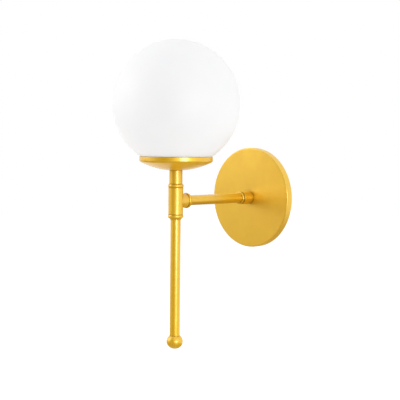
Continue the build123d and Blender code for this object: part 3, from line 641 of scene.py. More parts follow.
def finish_tree(tree, geometry, sharp, given, ends):
    """Smooth faces, sharp edges over an angle, real copies and the material."""
    smooth = add(tree, "GeometryNodeSetShadeSmooth", domain="FACE", Geometry=geometry)
    angle = add(tree, "GeometryNodeInputMeshEdgeAngle").outputs["Unsigned Angle"]
    hard = add(tree, "GeometryNodeSetShadeSmooth", domain="EDGE", Geometry=smooth.outputs[0])
    connect(tree, hard, Selection=maths(tree, "GREATER_THAN", angle, sharp), Shade_Smooth=False)
    real = add(tree, "GeometryNodeRealizeInstances", Geometry=hard.outputs[0])
    painted = add(tree, "GeometryNodeSetMaterial", Geometry=real.outputs[0], Material=given["Material"])
    feed(tree, ends["Geometry"], painted.outputs[0])


print("tree helpers ready")

# %% Lathe tree
WELD = 1e-6
lathe, given, ends = new_tree(
    "Lathe",
    {
        "Steps round": "Int",
        "Thread pitch": "Float",
        "Thread depth": "Float",
        "Flutes": "Float",
        "Flute depth": "Float",
        "Sharp over": "Float",
        "Material": "Material",
    },
)
work_out = partial(maths, lathe)
outline, steps = given["Geometry"], given["Steps round"]
rows = add(lathe, "GeometryNodeAttributeDomainSize", Geometry=outline).outputs["Point Count"]
columns = work_out("ADD", steps, 1)
grid = add(lathe, "GeometryNodeMeshGrid", Vertices_X=rows, Vertices_Y=columns)
index = add(lathe, "GeometryNodeInputIndex").outputs[0]
row = work_out("FLOOR", work_out("DIVIDE", work_out("ADD", index, 0.25), columns))
column = work_out("SUBTRACT", index, work_out("MULTIPLY", row, columns))
turn = work_out("DIVIDE", column, steps)
position = add(lathe, "GeometryNodeInputPosition").outputs[0]
place = sampled(lathe, outline, position, row, "FLOAT_VECTOR")
radius, _, height = add(lathe, "ShaderNodeSeparateXYZ", Vector=place).outputs


def cut_wave(turns, depth, label):
    """Depth of a cut that comes and goes once in each turn, where the outline's attribute says so."""
    wave = work_out("MULTIPLY_ADD", work_out("COSINE", work_out("MULTIPLY", turns, 2 * pi)), 0.5, 0.5)
    where = sampled(lathe, outline, named_number(lathe, label), row)
    return work_out("MULTIPLY", work_out("MULTIPLY", wave, depth), where)


climb = work_out("SUBTRACT", work_out("DIVIDE", height, given["Thread pitch"]), turn)
radius = work_out("SUBTRACT", radius, cut_wave(climb, given["Thread depth"], "thread"))
flutes = work_out("MULTIPLY", turn, given["Flutes"])
radius = work_out("SUBTRACT", radius, cut_wave(flutes, given["Flute depth"], "flute"))
place = on_circle(lathe, radius, work_out("MULTIPLY", turn, 2 * pi), height)
moved = add(lathe, "GeometryNodeSetPosition", Geometry=grid.outputs["Mesh"], Position=place)
welded = add(lathe, "GeometryNodeMergeByDistance", Geometry=moved.outputs[0], Distance=WELD)
finish_tree(lathe, welded.outputs[0], given["Sharp over"], given, ends)
print("lathe tree nodes:", len(lathe.nodes))

# %% [markdown]
# An outline is written in millimetres, as (radius, height) corners, with a third number where a corner
# is rounded. `eased` turns those corners into short arcs, and `dense` adds rows where a thread or a
# flute needs them. `turned` runs the lathe, turns the result into a plain mesh, points its faces
# outwards and puts its place into the mesh, so that the object itself stays at the origin.

# %% Outlines


def eased(corners, steps=5):
    """Closed outline with its corners rounded: each corner is (radius, height[, rounding])."""
    points = []
    for k, corner in enumerate(corners):
        here = Vector(corner[:2])
        if len(corner) < 3:
            points.append(tuple(here))
            continue
        size, after = corner[2], corners[(k + 1) % len(corners)]
        back, on = Vector(corners[k - 1][:2]) - here, Vector(after[:2]) - here
        half = back.angle(on) / 2
        along = size / max(sin(half) / cos(half), WELD)
        centre = here + (back.normalized() + on.normalized()).normalized() * (size / sin(half))
        start = here + back.normalized() * along - centre
        stop = here + on.normalized() * along - centre
        first = atan2(start.y, start.x)
        swing = (atan2(stop.y, stop.x) - first + pi) % (2 * pi) - pi
        for step in range(steps + 1):
            a = first + swing * step / steps
            points.append((centre.x + size * cos(a), centre.y + size * sin(a)))
    return points


def arc(centre_r, centre_h, radius, start, end, steps):
    """Points of an arc in the outline's plane, from angle start to angle end."""
    angles = [start + (end - start) * k / steps for k in range(steps + 1)]
    return [(centre_r + radius * cos(a), centre_h + radius * sin(a)) for a in angles]


def evenly(points, longest=6.0, margin=0.4):
    """The same outline with long straight runs divided, and a row close to each of their ends."""
    result = []
    for k, point in enumerate(points):
        here, there = Vector(point), Vector(points[(k + 1) % len(points)])
        result.append(point)
        length = (there - here).length
        if length > 4 * margin:
            near = 3 * margin if length > 12 * margin else margin
            count = max(1, round((length - 2 * near) / longest))
            stops = {near + (length - 2 * near) * step / count for step in range(count + 1)}
            stops |= {margin, length - margin}
            result += [tuple(here.lerp(there, stop / length)) for stop in sorted(stops)]
    return result


print("outline helpers ready")

# %% Threads and flutes on an outline


def thread_run(radius, low, high, pitch, depth, fade, rows=7):
    """Where a thread runs on an outline, how it is cut, and its rows in each turn."""
    run = {"radius": radius, "low": low, "high": high, "fade": fade}
    return {**run, "spacing": pitch / rows, "pitch": pitch, "depth": depth}


def on_run(r, radius):
    """Whether a point of the outline lies on a run's radius, or on one of its radii."""
    return any(abs(r - one) < WELD for one in (radius if isinstance(radius, tuple) else (radius,)))


def dense(points, run):
    """The same outline with extra rows where it runs straight along a thread or a flute."""
    result = []
    for k, (r, h) in enumerate(points):
        result.append((r, h))
        r2, h2 = points[(k + 1) % len(points)]
        if abs(r - r2) < WELD and on_run(r, run["radius"]):
            count = max(1, round(abs(h2 - h) / run["spacing"]))
            result += [(r, h + (h2 - h) * step / count) for step in range(1, count)]
    return result


def flags(points, run):
    """1 on rows of a thread or a flute, easing to 0 at both of its ends, and 0 elsewhere."""
    values = []
    for r, h in points:
        inside = min(h - run["low"], run["high"] - h) / run["fade"] if on_run(r, run["radius"]) else 0
        inside = max(0.0, min(1.0, inside))
        values.append(inside * inside * (3 - 2 * inside))
    return values


print("thread helpers ready")

# %% Pieces


@contextmanager
def editing(mesh):
    """Opens a mesh for changes and writes them back into it."""
    work = bmesh.new()
    work.from_mesh(mesh)
    yield work
    work.to_mesh(mesh)
    work.free()


def outward(mesh, merge=None):
    """Points a closed mesh's faces outwards, after an optional weld; gives its volume."""
    with editing(mesh) as work:
        if merge:
            bmesh.ops.remove_doubles(work, verts=work.verts, dist=merge)
        bmesh.ops.recalc_face_normals(work, faces=work.faces)
        if work.calc_volume(signed=True) < 0:
            bmesh.ops.reverse_faces(work, faces=work.faces)
        volume = work.calc_volume()
    return volume


def link(name, data):
    """New object in the scene."""
    piece = bpy.data.objects.new(name, data)
    scene.collection.objects.link(piece)
    return piece


def chain(name, points, **numbers):
    """Object whose mesh is one line of points in metres, each with the numbers given to it."""
    mesh = bpy.data.meshes.new(name)
    mesh.from_pydata(points, [(k, k + 1) for k in range(len(points) - 1)], [])
    for label, values in numbers.items():
        mesh.attributes.new(label, "FLOAT", "POINT").data.foreach_set("value", values)
    return link(name, mesh)


def run_tree(piece, tree, inputs, material):
    """Runs a Geometry Nodes tree on an object and keeps the result as its plain mesh."""
    modifier = piece.modifiers.new("made", "NODES")
    modifier.node_group = tree
    identifiers = {
        item.name: item.identifier
        for item in tree.interface.items_tree
        if item.item_type == "SOCKET" and item.in_out == "INPUT"
    }
    for label, value in {**inputs, "Material": material}.items():
        modifier[identifiers[label]] = value
    graph = bpy.context.evaluated_depsgraph_get()
    result = bpy.data.meshes.new_from_object(
        piece.evaluated_get(graph), preserve_all_data_layers=True, depsgraph=graph
    )
    name = piece.name
    bpy.data.objects.remove(piece)
    result.name = name
    return link(name, result)


def turned(name, points, place, material, around=96, thread=None, flute=None, sharp=38):
    """Closed outline turned about an axis. thread and flute are dicts of where and how."""
    points = evenly(points)
    for run in (thread, flute):
        points = dense(points, run) if run else points
    rows = {
        kind: flags(points, run) if run else [0.0] * len(points)
        for kind, run in (("thread", thread), ("flute", flute))
    }
    closed = {kind: [*values, values[0]] for kind, values in rows.items()}
    line = chain(name, [(r * MM, 0, h * MM) for r, h in (*points, points[0])], **closed)
    thread, flute = thread or {}, flute or {}
    sizes = {
        "Steps round": around,
        "Thread pitch": thread.get("pitch", 1.0) * MM,
        "Thread depth": thread.get("depth", 0.0) * MM,
        "Flutes": float(flute.get("count", 0)),
        "Flute depth": flute.get("depth", 0.0) * MM,
        "Sharp over": radians(sharp),
    }
    piece = run_tree(line, lathe, sizes, material)
    volume = outward(piece.data)
    piece.data.transform(place)
    print(f"{name}: {len(piece.data.polygons)} faces, {volume * 1e6:.2f} cm3")
    return piece


def finish_piece(piece, body, nodes):
    """Says which body a piece rides and which frame nodes it stands for."""
    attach(piece, body)
    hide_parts(*nodes)
    return piece


print("piece helpers ready")

# %% [markdown]
# ## Cutting and rounding
#
# Some pieces are drilled, slotted or joined after they are turned. An exact boolean does that, and like
# the bevel it is a modifier whose result is kept as the piece's plain mesh. No real edge is quite sharp,
# so a narrow bevel rounds the edges that a press, a mould or a file leaves round.

# %% Cutting and rounding


def applied(piece, kind, **settings):
    """Runs one modifier on a piece and keeps the result as its plain mesh."""
    modifier = piece.modifiers.new(kind.lower(), kind)
    for label, value in settings.items():
        setattr(modifier, label, value)
    graph = bpy.context.evaluated_depsgraph_get()
    old, name = piece.data, piece.name
    result = bpy.data.meshes.new_from_object(piece.evaluated_get(graph))
    piece.modifiers.clear()
    piece.data = result
    bpy.data.meshes.remove(old)
    result.name = name


def cut_with(piece, cutter, operation="DIFFERENCE"):
    """Exact boolean of a piece with another object, which is then removed."""
    applied(piece, "BOOLEAN", operation=operation, solver="EXACT", object=cutter)
    bpy.data.objects.remove(cutter)


def crease(piece, over=38):
    """Smooth faces with sharp edges where the angle is over a limit."""
    piece.data.shade_smooth()
    piece.data.set_sharp_from_angle(angle=radians(over))
    return piece


def soften(piece, width, steps=2):
    """Rounded edges of a given width in millimetres, wherever faces meet at a clear angle."""
    limits = {"limit_method": "ANGLE", "angle_limit": radians(30), "use_clamp_overlap": True}
    applied(piece, "BEVEL", width=width * MM, segments=steps, **limits)
    return crease(piece)


def shape(name, place, make, **sizes):
    mesh = bpy.data.meshes.new(name)
    with editing(mesh) as work:
        make(work, **sizes)
    mesh.transform(place)
    return link(name, mesh)


def block(name, centre, size):
    """Box given by centre and size in millimetres."""
    stretch = Matrix.Diagonal((*(Vector(size) * MM), 1))
    return shape(name, Matrix.Translation(Vector(centre) * MM) @ stretch, bmesh.ops.create_cube, size=1)


def prism(name, sides, radius, length, place):
    """Upright prism about the origin, with its radius in millimetres, moved to its place."""
    sizes = {"segments": sides, "radius1": radius * MM, "radius2": radius * MM, "depth": length}
    return shape(name, place, bmesh.ops.create_cone, cap_ends=True, **sizes)


def rod(name, start, end, radius, sides=32):
    """Cylinder between two points in millimetres."""
    start, end = Vector(start) * MM, Vector(end) * MM
    aim = (end - start).to_track_quat("Z", "Y").to_matrix().to_4x4()
    place = Matrix.Translation((start + end) / 2) @ aim
    return prism(name, sides, radius, (end - start).length, place)


print("cutting helpers ready")

# %% [markdown]
# ## The wall plate
#
# A pan spun from sheet: a flat face, a small round corner and a short rim. Two small screws hold it
# through the rim, one at the top and one at the bottom, so two holes are cut there.

# %% Wall plate
PLATE_R, PLATE_DEPTH, PLATE_WALL, NIPPLE_R = 62.5, 9.0, 1.2, 5.0
SIDE_SCREW_OUT, SIDE_HOLE_R = 4.0, 2.1

inner, behind, opening = PLATE_R - PLATE_WALL, PLATE_DEPTH - PLATE_WALL, NIPPLE_R + 0.1
plate_corners = [
    (opening, PLATE_DEPTH, 0.15), (PLATE_R, PLATE_DEPTH, 1.2), (PLATE_R, 0, 0.25),
    (inner, 0, 0.25), (inner, behind, 0.5), (opening, behind, 0.15),
]
wall_plate = turned("wall_plate", eased(plate_corners, 8), FROM_WALL, brass_plate, 192)
for side in (-1, 1):
    near, far = ((0, -SIDE_SCREW_OUT, side * height) for height in (55, 70))
    cut_with(wall_plate, rod("hole", near, far, SIDE_HOLE_R, 48))
crease(wall_plate)
finish_piece(wall_plate, "sconce", ["backplate"])
print("plate faces after drilling:", len(wall_plate.data.polygons))

# %% [markdown]
# ## Coupling, arm and tee
#
# The arm is one tube between two fittings. At the wall a sleeve and a ring meet in a V-shaped groove.
# At the other end a beaded ring closes the tee's side branch. The tee is one piece: a barrel and a
# branch joined and bored through, so it is made with exact booleans of turned pieces.

# %% Coupling and arm
TUBE_R, BORE_R, SEAT_R = 6.0, 5.05, 6.05  # the tube outside and inside, and the hole that it sits in
COUPLING_R, COUPLING_END, COUPLING_BEAD_R, COUPLING_BEAD_END = 8.0, 25.6, 7.8, 29.0
ARM_LOW, ARM_HIGH = 17.0, 120.0
GROOVE = 1.1
seen_brass = [wall_plate]


def brass_piece(name, outline, place, material, node, around=96):
    """A turned brass piece of the fixture, noted for the dirt and painted shade in its joints."""
    piece = turned(name, outline, place, material, around)
    seen_brass.append(piece)
    return finish_piece(piece, "sconce", [node])


def tube_outline(inner_r, outer_r, low, high):
    """Outline of a tube with small round edges, larger outside than inside."""
    return eased([(inner_r, low, 0.1), (outer_r, low, 0.2), (outer_r, high, 0.2), (inner_r, high, 0.1)])


coupling_outline = eased(
    [
        (BORE_R, PLATE_DEPTH, 0.1), (COUPLING_R, PLATE_DEPTH, 0.5),
        (COUPLING_R, COUPLING_END - GROOVE, 0.12), (COUPLING_R - GROOVE, COUPLING_END, 0.1),
        (SEAT_R, COUPLING_END, 0.05), (SEAT_R, ARM_LOW), (BORE_R, ARM_LOW),
    ]
)
coupling_bead_outline = eased(
    [
        (SEAT_R, COUPLING_END, 0.05), (COUPLING_BEAD_R - GROOVE, COUPLING_END, 0.1),
        (COUPLING_BEAD_R, COUPLING_END + GROOVE, 0.12), (COUPLING_BEAD_R, COUPLING_BEAD_END, 1.0),
        (SEAT_R, COUPLING_BEAD_END, 0.1),
    ]
)
arm_outline = tube_outline(BORE_R, TUBE_R, ARM_LOW, ARM_HIGH)
brass_piece("plate_coupling", coupling_outline, FROM_WALL, brass_wall, "arm_coupling")
brass_piece("coupling_bead", coupling_bead_outline, FROM_WALL, brass_wall, "coupling_ring")
brass_piece("arm", arm_outline, FROM_WALL, brass_wall, "arm_tube")

# %% Tee
TEE_R, TEE_HALF, RING_OPENING = 8.75, 16.0, 5.3
BRANCH_R, BRANCH_END, CORE_R, CORE_HALF = 8.3, 15.0, 7.0, 15.5
BORE_REACH, BORE_SIDES = 20.0, 64


def on_axis(height):
    """A point of the upright's axis, in millimetres."""
    return (0, -REACH, height)


ring_corners = [
    (RING_OPENING, -TEE_HALF, 0.1), (TEE_R, -TEE_HALF, 0.3),
    (TEE_R, TEE_HALF, 0.3), (RING_OPENING, TEE_HALF, 0.1),
]
branch_corners = [(0, 0), (BRANCH_R, 0), (BRANCH_R, BRANCH_END, 0.15), (0, BRANCH_END)]
tee = turned("tee", eased(ring_corners), UPRIGHT, brass_upright)
branch = turned("branch", eased(branch_corners), Matrix(), brass_upright)
branch.data.transform(UPRIGHT @ Matrix.Rotation(radians(-90), 4, "X"))
cut_with(tee, rod("core", on_axis(-CORE_HALF), on_axis(CORE_HALF), CORE_R, 48), "UNION")
cut_with(tee, branch, "UNION")
cut_with(tee, rod("bore", on_axis(-BORE_REACH), on_axis(BORE_REACH), BORE_R, BORE_SIDES))
cut_with(tee, rod("side_bore", on_axis(0), (0, -REACH + BORE_REACH, 0), BORE_R, BORE_SIDES))
outward(tee.data, WELD)
crease(tee, 30)
seen_brass.append(finish_piece(tee, "sconce", ["tee_body"]))
print("tee faces:", len(tee.data.polygons))

# %% [markdown]
# ## Beaded rings and neck
#
# Three rings close the tee's ends. Each is a rounded bead with a thin dark line above and below it, where
# it meets its neighbour: a small step darkened with dirt and painted shade; two of them go on into a small
# cone that hugs the tube.

# %% Beads and neck
BEAD_FOOT_R, BEAD_R, BEAD_WIDTH, BEAD_EDGE = 8.5, 9.2, 4.0, 0.12
CONE_FOOT_R, CONE_TOP_R, CONE_HEIGHT, SEAT_DEPTH = 7.6, 6.5, 2.0, 3.0
NECK_R, NECK_INNER_R, NECK_LOW, NECK_HIGH = 7.75, 5.1, 20, 36.4
ARM_BEAD_OUT = 123.0


def bead(with_cone):
    """Outline of a beaded ring that stands on height 0."""
    half = BEAD_WIDTH / 2
    sagitta = BEAD_R - BEAD_FOOT_R
    round_r = (half * half + sagitta * sagitta) / (2 * sagitta)
    swing = atan2(half - BEAD_EDGE, round_r - sagitta)
    curve = arc(BEAD_R - round_r, half, round_r, -swing, swing, 12)
    lip_r, cone_top = BEAD_FOOT_R - 0.35, BEAD_WIDTH + CONE_HEIGHT
    cone = [
        (CONE_FOOT_R + 0.3, BEAD_WIDTH), (CONE_FOOT_R, BEAD_WIDTH, 0.1), (CONE_TOP_R, cone_top, 0.25),
        (SEAT_R, cone_top), (SEAT_R, SEAT_DEPTH), (BORE_R, SEAT_DEPTH), (BORE_R, 0.0),
    ]
    rest = eased(cone, 4) if with_cone else [(BORE_R, BEAD_WIDTH), (BORE_R, 0.0)]
    return [(lip_r, 0.0), *curve, (lip_r, BEAD_WIDTH), *rest]


def shifted(height, upside_down=False):
    """Move along an axis by a distance in millimetres, after an optional half turn."""
    move = Matrix.Translation((0, 0, height * MM))
    return move @ Matrix.Rotation(pi, 4, "X") if upside_down else move


above_tee, below_tee = UPRIGHT @ shifted(TEE_HALF), UPRIGHT @ shifted(-TEE_HALF, True)
brass_piece("neck_bead", bead(False), above_tee, brass_upright, "neck_ring")
brass_piece("rod_bead", bead(True), below_tee, brass_upright, "rod_ring")
brass_piece("arm_bead", bead(True), FROM_WALL @ shifted(ARM_BEAD_OUT, True), brass_wall, "arm_ring")
neck_corners = [
    (NECK_INNER_R, NECK_LOW, 0.1), (NECK_R, NECK_LOW, 0.3),
    (NECK_R, NECK_HIGH, 0.3), (NECK_INNER_R, NECK_HIGH, 0.1),
]
brass_piece("neck", eased(neck_corners), UPRIGHT, brass_upright, "neck_sleeve")

# %% [markdown]
# ## Rod and end ball
#
# The rod is the same tube as the arm. The ball at its foot is a little flatter than a sphere and has a
# flat on top where the rod stands.

# %% Rod and ball
ROD_TOP, ROD_FOOT = -19.0, -160.3
BALL_R, BALL_HALF, BALL_FLAT_R, BALL_Z = 9.75, 8.8, 6.4, -166.94
BALL_HOLE_DEPTH, BALL_STEPS = 8.8, 56

rod_outline = tube_outline(BORE_R, TUBE_R, ROD_FOOT, ROD_TOP)
brass_piece("upright_rod", rod_outline, UPRIGHT, brass_upright, "rod_tube")

flat_share = BALL_FLAT_R / BALL_R
swing = atan2(sqrt(1 - flat_share**2), flat_share) + pi / 2
angles = [-pi / 2 + swing * k / BALL_STEPS for k in range(BALL_STEPS + 1)]
ball_side = [(BALL_R * cos(a), BALL_Z + BALL_HALF * sin(a)) for a in angles]
ball_side[0] = (0.0, ball_side[0][1])
flat_z = ball_side[-1][1]
hole_z = flat_z - BALL_HOLE_DEPTH
ball_outline = [*ball_side[:-1], (BALL_FLAT_R, flat_z), (BORE_R, flat_z), (BORE_R, hole_z), (0.0, hole_z)]
brass_piece("end_ball", ball_outline, UPRIGHT, brass_upright, "ball_finial")

# %% [markdown]
# ## Dish and opal ball
#
# The dish is spun: a shallow bowl, a tight round corner and a short upright lip. The ball is blown, with
# one opening below whose edge is ground and fire-polished round. It stands on the dish's lip.

# %% Dish
RIM_R, RIM_Z, CORNER_R, LIP_HEIGHT = 43.25, 52.211, 3.0, 4.0
DISH_Z, BOWL_R, DISH_WALL, DISH_FLAT_RISE = 35.811, 93.874, 1.0, 0.589
RIM_ROUND = 0.35
corner_z = RIM_Z - LIP_HEIGHT


def dish_side(inset):
    """Side of the dish from the clamped flat to the rim, moved inwards by inset."""
    centre_z = DISH_Z + BOWL_R
    bowl_r = BOWL_R - inset
    tangent = atan2(corner_z - centre_z, RIM_R - CORNER_R)
    low = DISH_Z + DISH_FLAT_RISE + inset
    start = atan2(low - centre_z, sqrt(bowl_r**2 - (centre_z - low) ** 2))
    bowl = arc(0, centre_z, bowl_r, start, tangent, 28)
    corner = arc(RIM_R - CORNER_R, corner_z, CORNER_R - inset, tangent, 0, 10)
    return [*bowl, *corner[1:]]


outside, inside = dish_side(0), dish_side(DISH_WALL)
round_z = RIM_Z - RIM_ROUND
rim = [
    *arc(RIM_R - RIM_ROUND, round_z, RIM_ROUND, 0, pi / 2, 5),
    *arc(RIM_R - DISH_WALL + RIM_ROUND, round_z, RIM_ROUND, pi / 2, pi, 5),
]
hole_r = NECK_INNER_R
dish_outline = [(hole_r, outside[0][1]), *outside, *rim, *reversed(inside), (hole_r, inside[0][1])]
brass_piece("spun_dish", dish_outline, UPRIGHT, brass_dish, "dish", 160)

# %% Opal ball
GLOBE_R, GLOBE_WALL, GLOBE_Z, GLOBE_EDGE_Z = 75.0, 2.5, 114.377, 50.746
OUTER_STEPS, INNER_STEPS, LIP_ANGLE = 132, 128, 0.010

drop = GLOBE_EDGE_Z - GLOBE_Z
globe_inner_r = GLOBE_R - GLOBE_WALL
outer_start, inner_start = (
    atan2(drop, sqrt(radius**2 - drop**2)) + LIP_ANGLE for radius in (GLOBE_R, globe_inner_r)
)
outer_arc = arc(0, GLOBE_Z, GLOBE_R, outer_start, pi / 2, OUTER_STEPS)
inner_arc = arc(0, GLOBE_Z, globe_inner_r, pi / 2, inner_start, INNER_STEPS)
outer_arc[-1] = (0.0, outer_arc[-1][1])
inner_arc[0] = (0.0, inner_arc[0][1])
lip_inner, lip_outer = inner_arc[-1][0], outer_arc[0][0]
lip = [  # the ground edge, rounded in the fire: steps inwards or outwards, and up
    (lip_inner + 0.12, GLOBE_EDGE_Z + 0.22), (lip_inner + 0.5, GLOBE_EDGE_Z + 0.05),
    (lip_inner + 1.0, GLOBE_EDGE_Z), (lip_outer - 1.0, GLOBE_EDGE_Z),
    (lip_outer - 0.45, GLOBE_EDGE_Z + 0.05), (lip_outer - 0.1, GLOBE_EDGE_Z + 0.24),
]
globe = turned("opal_ball", [*outer_arc, *inner_arc, *lip], UPRIGHT, opal, 144, sharp=60)
finish_piece(globe, "globe", ["opal_globe"])

# %% [markdown]
# ## Dirt and painted shade in the joints
#
# Where two brass pieces meet, lacquer pools, dust stays and shade falls, so each joint is painted as a
# thin dark line of dirt and painted shade; where the coupling meets the plate it is a wider, soft patch of
# painted shadow. Curvature can't find these places, because each piece ends there on an outer edge. So the
# joints are written down once, as circles about the upright's axis or the arm's, and every brass piece is
# marked by its distance from them.

# %% Joint lines
JOINTS = [  # axis, radius, distance along the axis, reach of the dirt and painted shade, all in millimetres, and its depth
    # a wide soft patch of painted shadow where the coupling meets the plate
    (FROM_WALL, COUPLING_R, PLATE_DEPTH, 2.6, 0.4),
    (FROM_WALL, 7.0, COUPLING_END, 1.7, 1.0),
    (FROM_WALL, TUBE_R, COUPLING_BEAD_END, 1.0, 0.5),
    (FROM_WALL, TUBE_R, ARM_BEAD_OUT - 6.0, 0.9, 0.4),
    (FROM_WALL, 8.4, ARM_BEAD_OUT - BEAD_WIDTH, 0.7, 0.5),
    (FROM_WALL, BRANCH_R, ARM_BEAD_OUT, 0.9, 0.6),
    (UPRIGHT, BEAD_FOOT_R, TEE_HALF, 0.9, 0.45),
    (UPRIGHT, 8.1, NECK_LOW, 0.9, 0.5),
    (UPRIGHT, NECK_R, NECK_HIGH, 1.6, 0.4),
    (UPRIGHT, BEAD_FOOT_R, -TEE_HALF, 0.9, 0.45),
    (UPRIGHT, 8.1, -20.0, 0.9, 0.45),
    (UPRIGHT, TUBE_R, -22.0, 0.9, 0.35),
    (UPRIGHT, TUBE_R, ROD_FOOT, 1.1, 0.25),
]


def mark_joints(piece):
    """Stores how much dirt and painted shade each point gets: a joint's depth on its circle, and 0 beyond
    its reach.
    """
    mesh = piece.data
    values = [0.0] * len(mesh.vertices)
    for axis, radius, along, reach, depth in JOINTS:
        back = axis.inverted()
        for k, corner in enumerate(mesh.vertices):
            place = back @ corner.co
            off = sqrt((place.xy.length / MM - radius) ** 2 + (place.z / MM - along) ** 2) / reach
            if off < 1:
                values[k] = max(values[k], depth * (1 - off * off))
    mesh.attributes.new("joint", "FLOAT", "POINT").data.foreach_set("value", values)
    return sum(value > 0 for value in values)


for piece in seen_brass:
    print(piece.name, "points in joints:", mark_joints(piece))

# %% [markdown]
# ## Threaded tubes
#
# Every joint of this light is pulled together by short lengths of threaded brass tube. Their thread is
# the lathe's own: the outline runs straight along the tube, and the tree cuts a wave into it that climbs
# one pitch in each turn.

# %% Threaded tubes
NIPPLE_BORE_R, NIPPLE_PITCH, NIPPLE_THREAD = 3.8, 1.0, 0.38
THREADED_TUBES = [  # piece, lowest and highest place along its axis, axis, finish, frame node
    ("plate_tube", 4.0, 25.0, FROM_WALL, raw_brass_wall, "plate_nipple"),
    ("arm_thread", 110.0, 128.0, FROM_WALL, raw_brass_wall, "arm_nipple"),
    ("neck_thread", 11.0, 46.6, UPRIGHT, raw_brass_upright, "neck_nipple"),
    ("rod_thread", -29.0, -11.0, UPRIGHT, raw_brass_upright, "rod_nipple"),
    ("ball_thread", -168.8, -150.3, UPRIGHT, raw_brass_upright, "finial_nipple"),
]

for name, low, high, place, material, node in THREADED_TUBES:
    run = thread_run(NIPPLE_R, low + 0.3, high - 0.3, NIPPLE_PITCH, NIPPLE_THREAD, 0.6)
    corners = [
        (NIPPLE_BORE_R, low, 0.15), (NIPPLE_R, low, 0.3), (NIPPLE_R, high, 0.3), (NIPPLE_BORE_R, high, 0.15)
    ]
    piece = turned(name, eased(corners), place, material, 48, thread=run, sharp=50)
    finish_piece(piece, "sconce", [node])

# %% [markdown]
# ## Nuts
#
# A hexagon nut is a hexagonal bar whose corners are turned off by a cone on each face, so it is the
# common part of a hexagonal prism and a turned blank, with a hole through it.

# %% Hexagon nuts
NUT_FLATS, NUT_EDGE = 14.0, 0.12
NUT_CONE, NUT_CONE_HEIGHT = 1.2, 0.62
NUT_BORE_R, NUT_MOUTH_R, NUT_MOUTH = 5.08, 6.1, 0.75


def hex_nut(name, low, height, place, material, node):
    """Hexagon nut from a height upwards along its axis."""
    high = low + height
    nut = prism(name, 6, NUT_FLATS / sqrt(3), height * MM, shifted(low + height / 2))
    flat_r = NUT_FLATS / 2 + 0.25
    blank_r = flat_r + NUT_CONE
    blank = [
        (0, low), (flat_r, low), (blank_r, low + NUT_CONE_HEIGHT), (blank_r, high - NUT_CONE_HEIGHT),
        (flat_r, high), (0, high),
    ]
    bore = [
        (0, low - 1), (NUT_MOUTH_R, low - 1), (NUT_MOUTH_R, low), (NUT_BORE_R, low + NUT_MOUTH),
        (NUT_BORE_R, high - NUT_MOUTH), (NUT_MOUTH_R, high), (NUT_MOUTH_R, high + 1), (0, high + 1),
    ]
    cut_with(nut, turned("nut_blank", blank, Matrix(), material), "INTERSECT")
    cut_with(nut, turned("nut_bore", bore, Matrix(), material, 64))
    outward(nut.data, WELD)
    soften(nut, NUT_EDGE)
    nut.data.transform(place)
    nut.data.materials.clear()
    nut.data.materials.append(material)
    print(f"{name}: {len(nut.data.polygons)} faces")
    finish_piece(nut, "sconce", [node])


hex_nut("nut_behind_plate", 4.0, 2.5, FROM_WALL, raw_brass_wall, "plate_nut")
hex_nut("nut_in_dish", 38.0, 3.0, UPRIGHT, raw_brass_upright, "dish_nut")

# %% [markdown]
# ## Bracket, washer and tags behind the plate
#
# These are cut or stamped from sheet, so their frame shapes are already right. What a punch and a press
# add is small: a rounded edge all round. A copy of the frame's mesh is welded, its flat faces are made
# whole again, and its edges are rounded. The washer's teeth are also twisted, as a tooth lock washer's
# are, so that they bite.

# %% Copies from the frame
FRAME_WELD = 2e-6


def from_frame(name, node, material, edge_round, steps=2):
    """Copy of a frame node's mesh with rounded edges."""
    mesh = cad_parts[node].data.copy()
    mesh.name = name
    if "custom_normal" in mesh.attributes:
        mesh.attributes.remove(mesh.attributes["custom_normal"])
    piece = link(name, mesh)
    with editing(mesh) as work:
        bmesh.ops.remove_doubles(work, verts=work.verts, dist=FRAME_WELD)
        bmesh.ops.dissolve_limit(work, angle_limit=radians(0.6), verts=work.verts, edges=work.edges)
    mesh.materials.clear()
    mesh.materials.append(material)
    outward(mesh)
    if edge_round:
        soften(piece, edge_round, steps)
    return crease(piece)


def cut_into_squares(mesh, size):
    """Cuts a flat piece's broad faces into squares, so that curvature at its edges stays near them."""
    with editing(mesh) as work:
        for axis in (0, 2):
            places = [corner.co[axis] for corner in work.verts]
            low, high = min(places), max(places)
            count = round((high - low) / (size * MM))
            across = Vector((axis == 0, 0, axis == 2))
            for step in range(1, count):
                everything = [*work.verts, *work.edges, *work.faces]
                at = across * (low + (high - low) * step / count)
                bmesh.ops.bisect_plane(work, geom=everything, dist=2e-5, plane_co=at, plane_no=across)


print("copy helpers ready")

# %% Sheet pieces behind the plate
WASHER_MIDDLE, WASHER_R, WASHER_ROOT_R, WASHER_TEETH = 6.85, 8.0, 6.4, 12
WASHER_FLAT, TOOTH_TWIST = 0.62, 0.24  # how thin the twisted teeth leave it, and their twist

bracket = from_frame("wall_strap", "wall_bracket", zinc_wall, 0.3, 3)
cut_into_squares(bracket.data, 1.5)
crease(bracket)
finish_piece(bracket, "sconce", ["wall_bracket"])

washer = from_frame("lock_washer", "plate_washer", zinc_wall, 0)
for corner in washer.data.vertices:
    place = corner.co / MM
    out = min(1.0, max(0.0, (place.xz.length - WASHER_ROOT_R) / (WASHER_R - WASHER_ROOT_R)))
    tooth = (degrees(atan2(place.z, place.x)) * WASHER_TEETH / 360) % 1 - 0.5
    thin = (place.y + WASHER_MIDDLE) * WASHER_FLAT
    corner.co.y = (-WASHER_MIDDLE + thin + TOOTH_TWIST * out * tooth) * MM
finish_piece(washer, "sconce", ["plate_washer"])

for name, node in (("tube_earth_tag", "nipple_tag"), ("screw_earth_tag", "screw_tag")):
    finish_piece(from_frame(name, node, tinned, 0.12), "sconce", [node])
print("bracket faces:", len(bracket.data.polygons))

